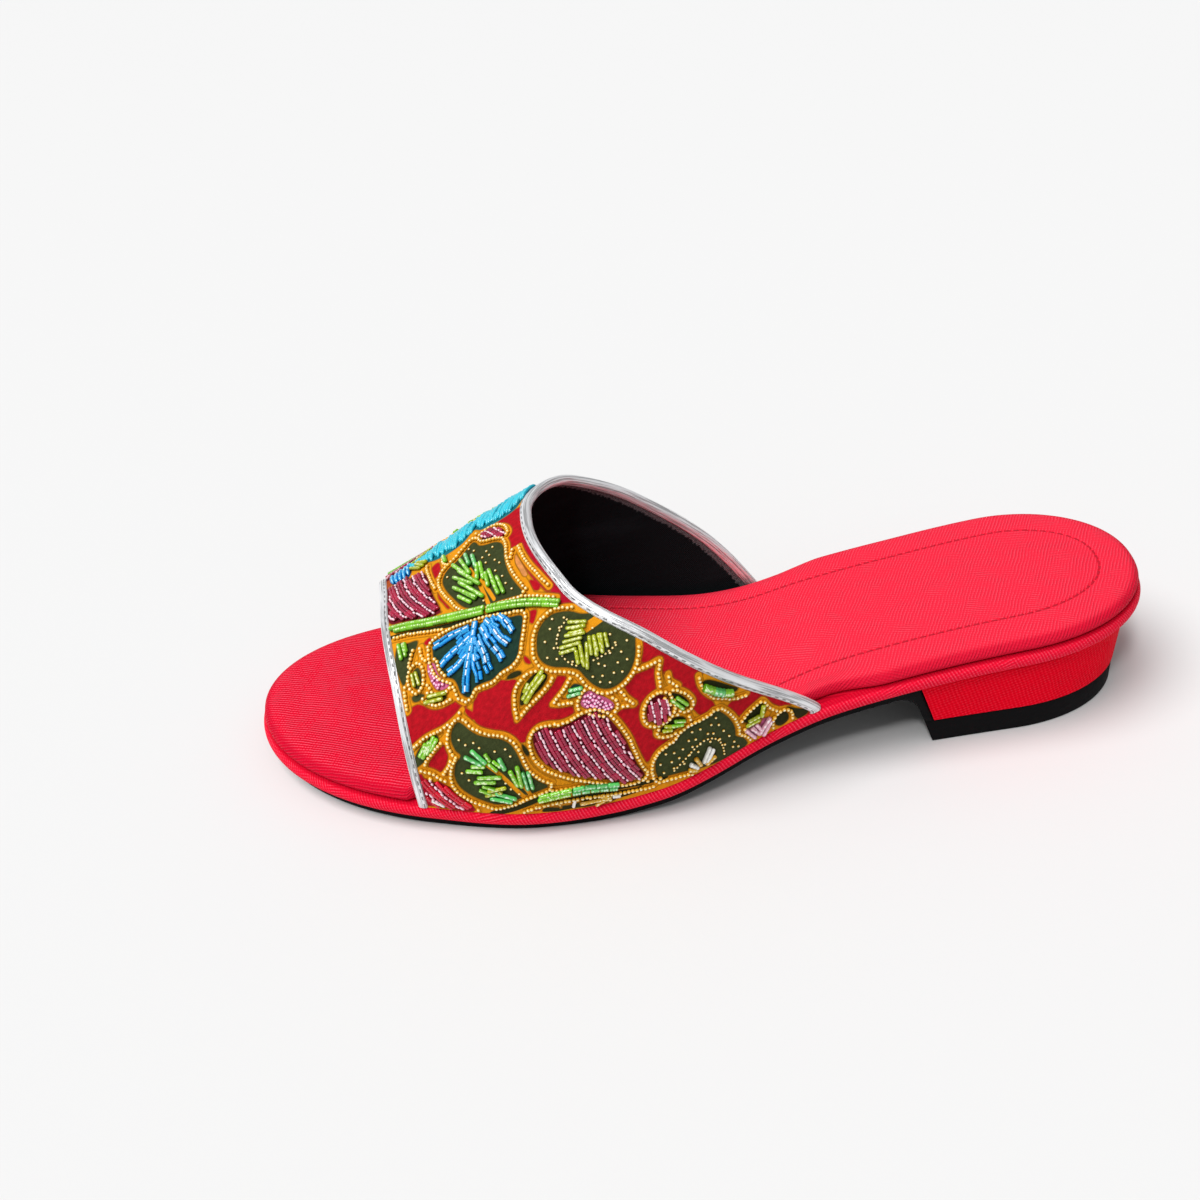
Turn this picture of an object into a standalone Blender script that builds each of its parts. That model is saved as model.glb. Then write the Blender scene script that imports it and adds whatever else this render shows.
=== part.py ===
"""Left beaded slide: an open vamp with bound edges on a wrapped sole with a low block heel.

Lengths here are millimetres and the objects are in metres. X runs from heel to toe, Y to the
wearer's left, which is the outer side of this left shoe, and Z up from the floor.
"""

import bmesh
import bpy
import numpy as np

MM = 0.001
GAP = 0.3

# Sole
LENGTH = 253.5
RIM_THICKNESS = 5.0
OUTSOLE_THICKNESS = 2.8
OUTSOLE_INSET = 2.4
HEEL_CAP, HEEL_POWER = 0.156, 2.15
TOE_CAP, TOE_POWER = 0.305, 2.0
STATIONS = 44
RIM_STEPS, TOE_STEPS, SOLE_STEPS, COVE_STEPS, BEND_STEPS, FLAP_STEPS = 8, 14, 22, 6, 4, 2
SHARP_ANGLE = 0.6

# Half-widths of the wrapped rim, from the line between heel and toe, at fractions of the length
OUTLINE = np.array(
    [
        (0.00, 30.5, 30.0),
        (0.12, 32.5, 29.5),
        (0.28, 36.0, 25.5),
        (0.42, 41.0, 22.5),
        (0.56, 50.5, 31.0),
        (0.68, 52.5, 38.0),
        (0.80, 50.5, 37.0),
        (1.00, 50.5, 41.5),
    ],
    dtype=[("station", float), ("outer", float), ("inner", float)],
)

# Height of the rim's top: the heel seat, the arch, the tread and the toe spring
PROFILE = np.array(
    [
        (0.00, 32.8),
        (0.10, 31.5),
        (0.20, 29.7),
        (0.30, 26.9),
        (0.37, 24.2),
        (0.44, 18.9),
        (0.50, 14.0),
        (0.56, 10.2),
        (0.61, 8.4),
        (0.67, 7.7),
        (0.74, 7.9),
        (0.82, 8.6),
        (0.90, 9.1),
        (1.00, 9.6),
    ],
    dtype=[("station", float), ("rim_top", float)],
)

# Padded insole: its edge leans in and rolls tighter under the vamp, and its inner side rises at the arch
PAD_OPEN_INSET, PAD_TUCKED_INSET = 1.4, 3.9
TUCK_MARGIN, TUCK_EASE, TUCK_ROLL = 3.5, 16.0, 0.4
ARCH_RISE, ARCH_PLACE, ARCH_REACH = 4.9, 29.4, 30.0
PAD_EDGE = np.array(
    [(1.0, 0.3), (0.2, 0.9), (0.0, 1.8), (0.6, 3.0), (2.0, 3.9), (4.5, 4.4), (8.5, 4.6)],
    dtype=[("inset", float), ("height", float)],
)

# Heel block, breast flap and top lift
LIFT_THICKNESS = 7.9
BREAST_FOOT, BREAST_SLOPE = -63.5, 0.36
FLAP_THICKNESS = 2.4
COVE_RADIUS, ARCH_SAMPLES = 8.0, 400
HEEL_TOP_INSET, HEEL_FOOT_INSET, LIFT_INSET = 3.2, 4.2, 4.4
LIFT_EDGE = 0.6
HEEL_STATIONS, HEEL_LEVELS, MEETING_ROUNDS = 16, 4, 20

# Vamp: crest height over the rim, and the crest's distance from the line between heel and toe
WALL = 1.6
VAMP_INSET = 1.0
VAMP_WIDTH_POWER, VAMP_HEIGHT_POWER = 2.44, 2.13
CREST = np.array(
    [
        (-45.0, 78.5, -1.5),
        (-30.0, 78.0, -2.0),
        (0.0, 75.0, -3.5),
        (30.0, 65.8, -4.4),
        (55.0, 52.9, -3.0),
        (85.0, 34.6, 0.0),
        (100.0, 26.0, 1.5),
    ],
    dtype=[("x", float), ("height", float), ("offset", float)],
)

# Where the vamp's two edges lie, by the angle round the foot from the outer to the inner side
BACK_EDGE = np.array(
    [
        (0.0, -29.1),
        (15.0, -8.7),
        (35.0, 12.5),
        (60.0, 34.7),
        (90.0, 43.7),
        (120.0, 31.6),
        (145.0, 11.8),
        (165.0, -8.8),
        (180.0, -21.5),
    ],
    dtype=[("angle", float), ("x", float)],
)
FRONT_EDGE = np.array(
    [(0.0, 79.1), (45.0, 82.1), (90.0, 86.6), (135.0, 89.1), (180.0, 87.6)],
    dtype=[("angle", float), ("x", float)],
)
ARCH_STEPS, EDGE_STEPS, NUDGE = 44, 12, 0.5

# Bindings: a folded strip over each edge of the vamp
BINDING_WIDTH, BINDING_THICKNESS, BINDING_FOLD, BINDING_GAP = 2.0, 0.4, 0.9, 0.3
FOLD_STEPS = 4

RED = (0.80, 0.02, 0.05)
BLACK = (0.012, 0.012, 0.013)
SILVER = (0.72, 0.73, 0.75)
PRINT = (0.42, 0.06, 0.05)


def smooth_curve(table, column):
    """A curve through one column of a table, with no overshoot between the rows."""
    x = table[table.dtype.names[0]]
    y = table[column]
    step = np.diff(x)
    rise = np.diff(y) / step
    slope = np.zeros_like(y)
    before, after = rise[:-1], rise[1:]
    near, far = 2 * step[1:] + step[:-1], step[1:] + 2 * step[:-1]
    turning = before * after <= 0
    safe_before = np.where(turning, 1.0, before)
    safe_after = np.where(turning, 1.0, after)
    slope[1:-1] = np.where(turning, 0.0, (near + far) / (near / safe_before + far / safe_after))
    slope[0], slope[-1] = rise[0], rise[-1]

    def value(at):
        at = np.clip(at, x[0], x[-1])
        k = np.clip(np.searchsorted(x, at) - 1, 0, len(step) - 1)
        t = (at - x[k]) / step[k]
        bend_a = slope[k] * step[k] - (y[k + 1] - y[k])
        bend_b = (y[k + 1] - y[k]) - slope[k + 1] * step[k]
        return y[k] + t * (y[k + 1] - y[k]) + t * (1 - t) * ((1 - t) * bend_a + t * bend_b)

    return value


outer_width = smooth_curve(OUTLINE, "outer")
inner_width = smooth_curve(OUTLINE, "inner")
rim_height = smooth_curve(PROFILE, "rim_top")
crest_height = smooth_curve(CREST, "height")
crest_offset = smooth_curve(CREST, "offset")
back_edge = smooth_curve(BACK_EDGE, "x")
front_edge = smooth_curve(FRONT_EDGE, "x")


def rim_top(x):
    """Height of the rim's top at a distance along the shoe."""
    return rim_height(x / LENGTH + 0.5)


def rounding(station):
    """How far the outline closes in at the heel and at the toe, from 0 at the tip to 1."""
    heel = np.clip((HEEL_CAP - station) / HEEL_CAP, 0.0, 1.0)
    toe = np.clip((station - 1.0 + TOE_CAP) / TOE_CAP, 0.0, 1.0)
    return (1 - heel**HEEL_POWER) ** (1 / HEEL_POWER) * (1 - toe**TOE_POWER) ** (1 / TOE_POWER)


def rim_ring():
    """The rim's outline from the heel round the outer side to the toe and back, with its inward normals."""
    station = 0.5 - 0.5 * np.cos(np.linspace(0.0, np.pi, STATIONS + 1))
    x = (station - 0.5) * LENGTH
    close = rounding(station)
    outer = np.stack([x, outer_width(station) * close], -1)
    inner = np.stack([x, -inner_width(station) * close], -1)
    ring = np.vstack([outer, inner[-2:0:-1]])
    along = np.roll(ring, -1, 0) - np.roll(ring, 1, 0)
    along /= np.linalg.norm(along, axis=1)[:, None]
    inward = np.stack([along[:, 1], -along[:, 0]], -1)
    return ring, inward


RIM, INWARD = rim_ring()
CENTRE_Y = (RIM[:, 1].max() + RIM[:, 1].min()) / 2


def ring_at(inset, height):
    """The outline drawn in by an inset, lifted to a height that is worked out from X."""
    flat = RIM + INWARD * np.broadcast_to(inset, len(RIM))[:, None]
    return np.column_stack([flat, height(flat[:, 0])])


def side(x, inset, outer):
    """Y of the inset outline on its outer or inner side, at a distance along the shoe."""
    flat = RIM + INWARD * inset
    half = flat[: STATIONS + 1] if outer else np.vstack([flat[:1], flat[: STATIONS - 1 : -1]])
    return np.interp(x, half[:, 0], half[:, 1])


def material(name, colour, roughness, metallic=0.0):
    made = bpy.data.materials.new(name)
    made.use_nodes = True
    shader = made.node_tree.nodes["Principled BSDF"]
    shader.inputs["Base Color"].default_value = (*colour, 1.0)
    shader.inputs["Roughness"].default_value = roughness
    shader.inputs["Metallic"].default_value = metallic
    return made


def add_node(name, rings, cap, finish):
    """Joins closed rings of points into one solid, with strips across the first and the last ring."""
    mesh = bpy.data.meshes.new(name)
    work = bmesh.new()
    rows = []
    for ring in rings:
        points = (ring - [0.0, CENTRE_Y, 0.0]) * MM
        rows.append([work.verts.new(point) for point in points])
    count = len(rows[0])
    for lower, upper in zip(rows[:-1], rows[1:]):
        for k in range(count):
            j = (k + 1) % count
            work.faces.new((lower[k], lower[j], upper[j], upper[k]))
    for row in (rows[0], rows[-1]):
        for corners in cap(count):
            work.faces.new([row[k] for k in corners])
    bmesh.ops.triangulate(work, faces=work.faces)
    bmesh.ops.recalc_face_normals(work, faces=work.faces)
    work.to_mesh(mesh)
    work.free()
    mesh.shade_smooth()
    mesh.set_sharp_from_angle(angle=SHARP_ANGLE)
    mesh.materials.append(finish)
    made = bpy.data.objects.new(name, mesh)
    bpy.context.collection.objects.link(made)
    made.parent = shoe
    return made


def across(count):
    """Strips that close a ring of paired points from one tip to the other."""
    half = count // 2
    strips = [(0, 1, count - 1), (half, half - 1, half + 1)]
    strips += [(k, k + 1, count - k - 1, count - k) for k in range(1, half - 1)]
    return strips


def between_legs(count):
    """Strips that close a ring whose first half and second half run side by side."""
    return [(k, k + 1, count - k - 2, count - k - 1) for k in range(count // 2 - 1)]


def add_midsole():
    """The wrapped rim: the whole outline with a fully rounded edge."""
    radius = RIM_THICKNESS / 2
    rings = []
    for turn in np.linspace(-np.pi / 2, np.pi / 2, RIM_STEPS + 1):
        drop = radius * (1 - np.sin(turn))
        rings.append(ring_at(radius * (1 - np.cos(turn)), lambda x: rim_top(x) - drop))
    return add_node("midsole", rings, across, material("wrapped_rim", RED, 0.5))


def pad_tuck():
    """How far the insole's edge is drawn in round the outline: 1 where the vamp passes outside it."""
    foot = np.where(RIM[:, 1] > 0, 0.0, 180.0)
    behind = back_edge(foot) - TUCK_MARGIN - RIM[:, 0]
    before = RIM[:, 0] - front_edge(foot) - TUCK_MARGIN
    ease = np.clip(1 - np.maximum(behind, before) / TUCK_EASE, 0.0, 1.0)
    return ease * ease * (3 - 2 * ease)


def arch_rise(ring):
    """Extra height of the insole under the arch, along the inner side only."""
    swell = np.exp(-(((ring[:, 0] - ARCH_PLACE) / ARCH_REACH) ** 2))
    return np.where(RIM[:, 1] < 0, ARCH_RISE * swell, 0.0)


def add_insole():
    """The padded insole, with a rolled edge."""
    tuck = pad_tuck()
    edge = PAD_OPEN_INSET + (PAD_TUCKED_INSET - PAD_OPEN_INSET) * tuck
    roll = 1 + (TUCK_ROLL - 1) * tuck
    rings = []
    for row in PAD_EDGE:
        ring = ring_at(edge + row["inset"] * roll, lambda x: rim_top(x) + row["height"])
        ring[:, 2] += arch_rise(ring) * row["height"] / PAD_EDGE["height"][-1]
        rings.append(ring)
    return add_node("insole", rings, across, material("padded_insole", RED, 0.5))


def breast(height):
    """X of the breast flap's front at a height over the floor."""
    return BREAST_FOOT + BREAST_SLOPE * height


def heel_front(height):
    """X of the heel block's front face, behind the breast flap."""
    return breast(height) - FLAP_THICKNESS - GAP


def under_rim(x):
    """Height just under the rim."""
    return rim_top(x) - RIM_THICKNESS - GAP


def heel_ring(front, inset, height):
    """A heel outline from the middle of the back to a straight front, lifted to a height."""
    back = -LENGTH / 2 + inset
    part = 1 - np.cos(np.linspace(0.0, np.pi / 2, HEEL_STATIONS + 1))
    x = back + (front - back) * part
    outer = np.column_stack([x, side(x, inset, True)])
    inner = np.column_stack([x, side(x, inset, False)])
    flat = np.vstack([outer, inner[:0:-1]])
    return np.column_stack([flat, height(flat[:, 0])])


def heel_cap(count):
    """Strips that close a heel outline, from its back to its straight front."""
    half = count // 2
    strips = [(0, 1, count - 1)]
    strips += [(k, k + 1, count - k - 1, count - k) for k in range(1, half)]
    return strips


def heel_top_front():
    """X of the heel block's front where it meets the underside of the rim."""
    front = BREAST_FOOT
    for _ in range(MEETING_ROUNDS):
        front = heel_front(under_rim(front))
    return float(front)


def add_heel():
    """The wrapped heel block: its top follows the rim and its sides draw in to the lift."""
    foot = LIFT_THICKNESS + GAP
    top_front, foot_front = heel_top_front(), heel_front(foot)
    rings = []
    for part in np.linspace(0.0, 1.0, HEEL_LEVELS):
        front = foot_front + (top_front - foot_front) * part
        inset = HEEL_FOOT_INSET + (HEEL_TOP_INSET - HEEL_FOOT_INSET) * part
        rings.append(heel_ring(front, inset, lambda x: foot + (under_rim(x) - foot) * part))
    return add_node("heel", rings, heel_cap, material("wrapped_heel", RED, 0.5))


def add_top_lift():
    """The rubber top lift that the heel stands on."""
    levels = [
        (LIFT_EDGE, 0.0),
        (0.0, LIFT_EDGE),
        (0.0, LIFT_THICKNESS - LIFT_EDGE),
        (LIFT_EDGE / 2, LIFT_THICKNESS),
    ]
    rings = []
    for extra, level in levels:
        rings.append(heel_ring(breast(level) - extra, LIFT_INSET + extra, lambda x: 0 * x + level))
    return add_node("top_lift", rings, heel_cap, material("lift_rubber", BLACK, 0.5))


def outsole_underside():
    """Side view of the outsole's lower face as X and Z, and how many points lie before the cove.

    It runs from the toe along the tread and the arch, round a cove and down the breast flap.
    """
    toe = LENGTH / 2 - OUTSOLE_INSET
    drop = RIM_THICKNESS + GAP + OUTSOLE_THICKNESS
    lean = np.arctan(BREAST_SLOPE)
    x = np.linspace(BREAST_FOOT, 0.0, ARCH_SAMPLES)
    arch = rim_top(x) - drop
    slant = np.gradient(arch, x)
    under = COVE_RADIUS / np.hypot(1, slant)
    away = np.stack([x + slant * under, arch - under], -1)
    clear = (away[:, 0] - breast(away[:, 1])) * np.cos(lean)
    k = int(np.argmax(clear >= COVE_RADIUS))
    centre = away[k]
    start, end = np.pi / 2 + np.arctan(slant[k]), np.pi - lean
    turn = np.linspace(start, end, COVE_STEPS + 1)
    cove = centre + COVE_RADIUS * np.stack([np.cos(turn), np.sin(turn)], -1)
    spread = np.sin(np.linspace(0.0, np.pi / 2, TOE_STEPS + 1))
    tip = toe - TOE_CAP * LENGTH * (1 - spread[::-1])
    straight = np.linspace(tip[-1], cove[0, 0], SOLE_STEPS + 2)[1:-1]
    run = np.concatenate([tip, straight])
    sole = np.stack([run, np.maximum(rim_top(run) - drop, 0.0)], -1)
    level = np.linspace(cove[-1, 1], LIFT_THICKNESS + GAP, FLAP_STEPS + 1)[1:]
    flap = np.stack([breast(level), level], -1)
    return np.vstack([sole, cove, flap]), len(sole)


def add_outsole():
    """The thin outsole: a sheet that follows the sole and turns down over the heel's breast."""
    lower, sole = outsole_underside()
    corner = heel_top_front() + GAP
    upper = lower.copy()
    upper[:sole, 1] = under_rim(lower[:sole, 0])
    foot = LIFT_THICKNESS + GAP
    bend = np.linspace(upper[sole - 1, 0], corner, BEND_STEPS + 1)[1:]
    drop = np.linspace(under_rim(corner), foot, len(lower) - sole - len(bend) + 1)[1:]
    upper[sole : sole + len(bend)] = np.stack([bend, under_rim(bend)], -1)
    upper[sole + len(bend) :] = np.stack([heel_front(drop) + GAP, drop], -1)
    inset = np.full(len(lower), OUTSOLE_INSET)
    inset[sole:] = np.linspace(OUTSOLE_INSET, HEEL_FOOT_INSET, len(lower) - sole)
    rings = []
    for low, high, margin in zip(lower, upper, inset):
        corners = []
        for point, outer in ((low, True), (high, True), (high, False), (low, False)):
            corners.append((point[0], side(point[0], margin, outer), point[1]))
        rings.append(np.array(corners))
    return add_node("outsole", rings, lambda count: [range(count)], material("sole_rubber", BLACK, 0.6))


def vamp_surface(angle, x):
    """Outer face of the vamp: a rounded arch over the foot, by angle in degrees and distance along."""
    turn = np.radians(angle)
    foot_outer, foot_inner = side(x, VAMP_INSET, True), side(x, VAMP_INSET, False)
    crest = crest_offset(x)
    cosine, sine = np.cos(turn), np.sin(turn)
    reach = np.where(cosine > 0, foot_outer - crest, crest - foot_inner)
    y = crest + reach * np.sign(cosine) * np.abs(cosine) ** (2 / VAMP_WIDTH_POWER)
    z = rim_top(x) + GAP + crest_height(x) * np.abs(sine) ** (2 / VAMP_HEIGHT_POWER)
    return np.stack([x, y, z], -1)


def vamp_normal(angle, x):
    """Outward normal of the vamp's outer face."""
    low, high = np.clip(angle - NUDGE, 0, 180), np.clip(angle + NUDGE, 0, 180)
    over = vamp_surface(high, x) - vamp_surface(low, x)
    along = vamp_surface(angle, x + NUDGE) - vamp_surface(angle, x - NUDGE)
    normal = np.cross(over, along)
    normal /= np.linalg.norm(normal, axis=-1)[..., None]
    return normal


def wall_point(angle, x, depth):
    """A point in the vamp's wall, at a depth under its outer face."""
    return vamp_surface(angle, x) - vamp_normal(angle, x) * np.asarray(depth)[..., None]


def add_upper():
    """The vamp: one wall from the front edge to the back edge, open at toe, back and underneath."""
    angle = np.linspace(0.0, 180.0, ARCH_STEPS + 1)
    rings = []
    for turn in angle:
        x = np.linspace(front_edge(turn), back_edge(turn), EDGE_STEPS + 1)
        turns = np.full_like(x, turn)
        outer = wall_point(turns, x, np.zeros_like(x))
        inner = wall_point(turns, x, np.full_like(x, WALL))
        rings.append(np.vstack([outer, inner[::-1]]))
    return add_node("upper", rings, between_legs, material("beaded_cloth", PRINT, 0.7))


def add_binding(name, edge, outward):
    """A strip folded over one edge of the vamp, from one foot over the crest to the other."""
    inside = WALL / 2 + BINDING_GAP
    outside = inside + BINDING_THICKNESS
    fold = np.linspace(np.pi / 2, -np.pi / 2, 2 * FOLD_STEPS + 1)
    shell = np.vstack(
        [
            [(-BINDING_WIDTH, outside)],
            np.stack([BINDING_FOLD * np.cos(fold), outside * np.sin(fold)], -1),
            [(-BINDING_WIDTH, -outside)],
        ]
    )
    leg = np.linspace(-BINDING_WIDTH, BINDING_GAP, FOLD_STEPS)
    end = np.linspace(inside, -inside, len(shell) - 2 * FOLD_STEPS + 2)
    core = np.vstack(
        [
            np.stack([leg, np.full_like(leg, inside)], -1),
            np.stack([np.full_like(end, BINDING_GAP), end], -1)[1:-1],
            np.stack([leg, np.full_like(leg, -inside)], -1)[::-1],
        ]
    )
    profile = np.vstack([shell, core[::-1]])
    rings = []
    for turn in np.linspace(0.0, 180.0, ARCH_STEPS + 1):
        low, high = np.clip(turn - NUDGE, 0, 180), np.clip(turn + NUDGE, 0, 180)
        run = vamp_surface(high, edge(high)) - vamp_surface(low, edge(low))
        step = vamp_surface(turn, edge(turn) + NUDGE) - vamp_surface(turn, edge(turn) - NUDGE)
        slant = np.linalg.norm(np.cross(run, step)) / np.linalg.norm(run) / (2 * NUDGE)
        x = edge(turn) + outward * profile[:, 0] / slant
        rings.append(wall_point(np.full_like(x, turn), x, WALL / 2 - profile[:, 1]))
    return add_node(name, rings, between_legs, material(name + "_foil", SILVER, 0.35, 0.8))


def clear_scene():
    for item in list(bpy.data.objects):
        bpy.data.objects.remove(item, do_unlink=True)


clear_scene()
shoe = bpy.data.objects.new("shoe", None)
bpy.context.collection.objects.link(shoe)
add_outsole()
add_midsole()
add_insole()
add_heel()
add_top_lift()
add_upper()
add_binding("front_binding", front_edge, 1.0)
add_binding("back_binding", back_edge, -1.0)
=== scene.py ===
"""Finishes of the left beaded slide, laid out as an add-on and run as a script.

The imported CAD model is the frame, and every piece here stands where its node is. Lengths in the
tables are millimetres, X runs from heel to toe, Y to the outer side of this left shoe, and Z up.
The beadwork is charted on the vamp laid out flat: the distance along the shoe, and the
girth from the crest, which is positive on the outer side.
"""

import bmesh
import bpy
import numpy as np
from mathutils import Matrix, Vector


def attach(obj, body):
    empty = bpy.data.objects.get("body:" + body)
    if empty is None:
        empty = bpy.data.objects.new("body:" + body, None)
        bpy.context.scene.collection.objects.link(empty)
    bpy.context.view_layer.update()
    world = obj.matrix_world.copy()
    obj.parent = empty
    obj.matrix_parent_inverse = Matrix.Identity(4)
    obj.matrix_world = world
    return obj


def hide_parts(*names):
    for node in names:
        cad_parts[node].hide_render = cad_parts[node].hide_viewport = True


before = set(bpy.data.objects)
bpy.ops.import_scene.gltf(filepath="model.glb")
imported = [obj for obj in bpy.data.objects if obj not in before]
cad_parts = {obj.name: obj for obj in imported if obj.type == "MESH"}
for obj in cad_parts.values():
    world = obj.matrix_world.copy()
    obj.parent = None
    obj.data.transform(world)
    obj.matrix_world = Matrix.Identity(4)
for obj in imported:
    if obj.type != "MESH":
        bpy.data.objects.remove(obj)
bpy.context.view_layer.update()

bl_info = {
    "name": "Beaded slide",
    "version": (1, 0, 0),
    "blender": (4, 5, 0),
    "location": "View3D > Sidebar > Slide",
    "description": "Finishes of a left open-toe slide with a beaded vamp, built round its CAD model",
    "category": "Object",
}

MM = 0.001
BODY = "root"
SEED = 11


def named_rows(names, *rows):
    """A table with columns that are read by name."""
    return np.array(list(rows), dtype=[(name, float) for name in names.split()])


# The sole, as in the part's source
GAP = 0.3
LENGTH = 253.5
RIM_THICKNESS = 5.0
OUTSOLE_THICKNESS, OUTSOLE_INSET, OUTSOLE_EDGE = 2.8, 2.4, 0.5
HEEL_CAP, HEEL_POWER = 0.156, 2.15
TOE_CAP, TOE_POWER = 0.305, 2.0
STATIONS = 220
OUTLINE = named_rows(
    "station outer inner",
    (0, 30.5, 30), (0.12, 32.5, 29.5), (0.28, 36, 25.5), (0.42, 41, 22.5), (0.56, 50.5, 31),
    (0.68, 52.5, 38), (0.8, 50.5, 37), (1, 50.5, 41.5),
)
PROFILE = named_rows(
    "station rim_top",
    (0, 32.8), (0.1, 31.5), (0.2, 29.7), (0.3, 26.9), (0.37, 24.2), (0.44, 18.9), (0.5, 14), (0.56, 10.2),
    (0.61, 8.4), (0.67, 7.7), (0.74, 7.9), (0.82, 8.6), (0.9, 9.1), (1, 9.6),
)

# The padded insole and its stitched line
PAD_OPEN_INSET, PAD_TUCKED_INSET = 1.1, 3.9
TUCK_MARGIN, TUCK_EASE, TUCK_ROLL = 3.5, 16.0, 0.4
TUCK_FRONT_MARGIN, TUCK_FRONT_EASE = 0.4, 4.0
ARCH_RISE, ARCH_PLACE, ARCH_REACH = 4.9, 29.4, 30.0
PAD_EDGE = named_rows(
    "step inset height",
    (0, 1, 0.3), (1, 0.2, 0.9), (2, 0, 1.8), (3, 0.6, 3), (4, 2, 3.9), (5, 4.5, 4.4), (6, 8.5, 4.6),
)
SEAM_INSET, SEAM_DEPTH, SEAM_WIDTH = 11.8, 0.5, 0.6
SEAM_END, SEAM_EASE, SEAM_SHARPNESS, SEAM_SHADE = 40.0, 12.0, 2.2, 0.22
THREAD_SHARE, THREAD_WIDTH = 0.7, 0.75
PAD_CROWN, CROWN_REACH = 0.7, 15.0
TOE_LINE, HEEL_RIBS = 62.0, 1.2

# The heel block, its breast and the top lift
LIFT_THICKNESS = 7.9
BREAST_FOOT, BREAST_SLOPE = -63.5, 0.36
FLAP_THICKNESS = 2.4
COVE_RADIUS = 8.0
HEEL_TOP_INSET, HEEL_FOOT_INSET, LIFT_INSET = 3.2, 4.2, 4.4
LIFT_EDGE = 0.6

# The vamp and its edges
WALL, CLOTH_THICKNESS = 1.6, 0.9
FOOT_TURN = 0.75
VAMP_INSET = 1.0
VAMP_WIDTH_POWER, VAMP_HEIGHT_POWER = 2.44, 2.13
CREST = named_rows(
    "x height offset",
    (-45, 78.5, -1.5), (-30, 78, -2), (0, 75, -3.5), (30, 65.8, -4.4), (55, 52.9, -3), (85, 34.6, 0),
    (100, 26, 1.5),
)
BACK_EDGE = named_rows(
    "angle x",
    (0, -29.1), (15, -8.7), (35, 12.5), (60, 34.7), (90, 43.7), (120, 31.6), (145, 11.8), (165, -8.8),
    (180, -21.5),
)
FRONT_EDGE = named_rows("angle x", (0, 79.1), (45, 82.1), (90, 86.6), (135, 89.1), (180, 87.6))
BINDING_WIDTH, BINDING_THICKNESS, BINDING_FOLD = 2.0, 0.45, 0.9
RAW_EDGE = 0.9
FIELD_GROWTH, BAND_WIDTH = 1.2, 1.8
NUDGE = 0.5
CLOTH_GRID, LINING_GRID, BINDING_STEPS = (281, 161), (141, 61), 261
WEAVE, TWILL = 15.7, 8.5

# The beadwork is turned over onto the inner side about this angle round the foot, in degrees
MIRROR_ANGLE = 103.5
SPAN_STEPS = 6

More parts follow.
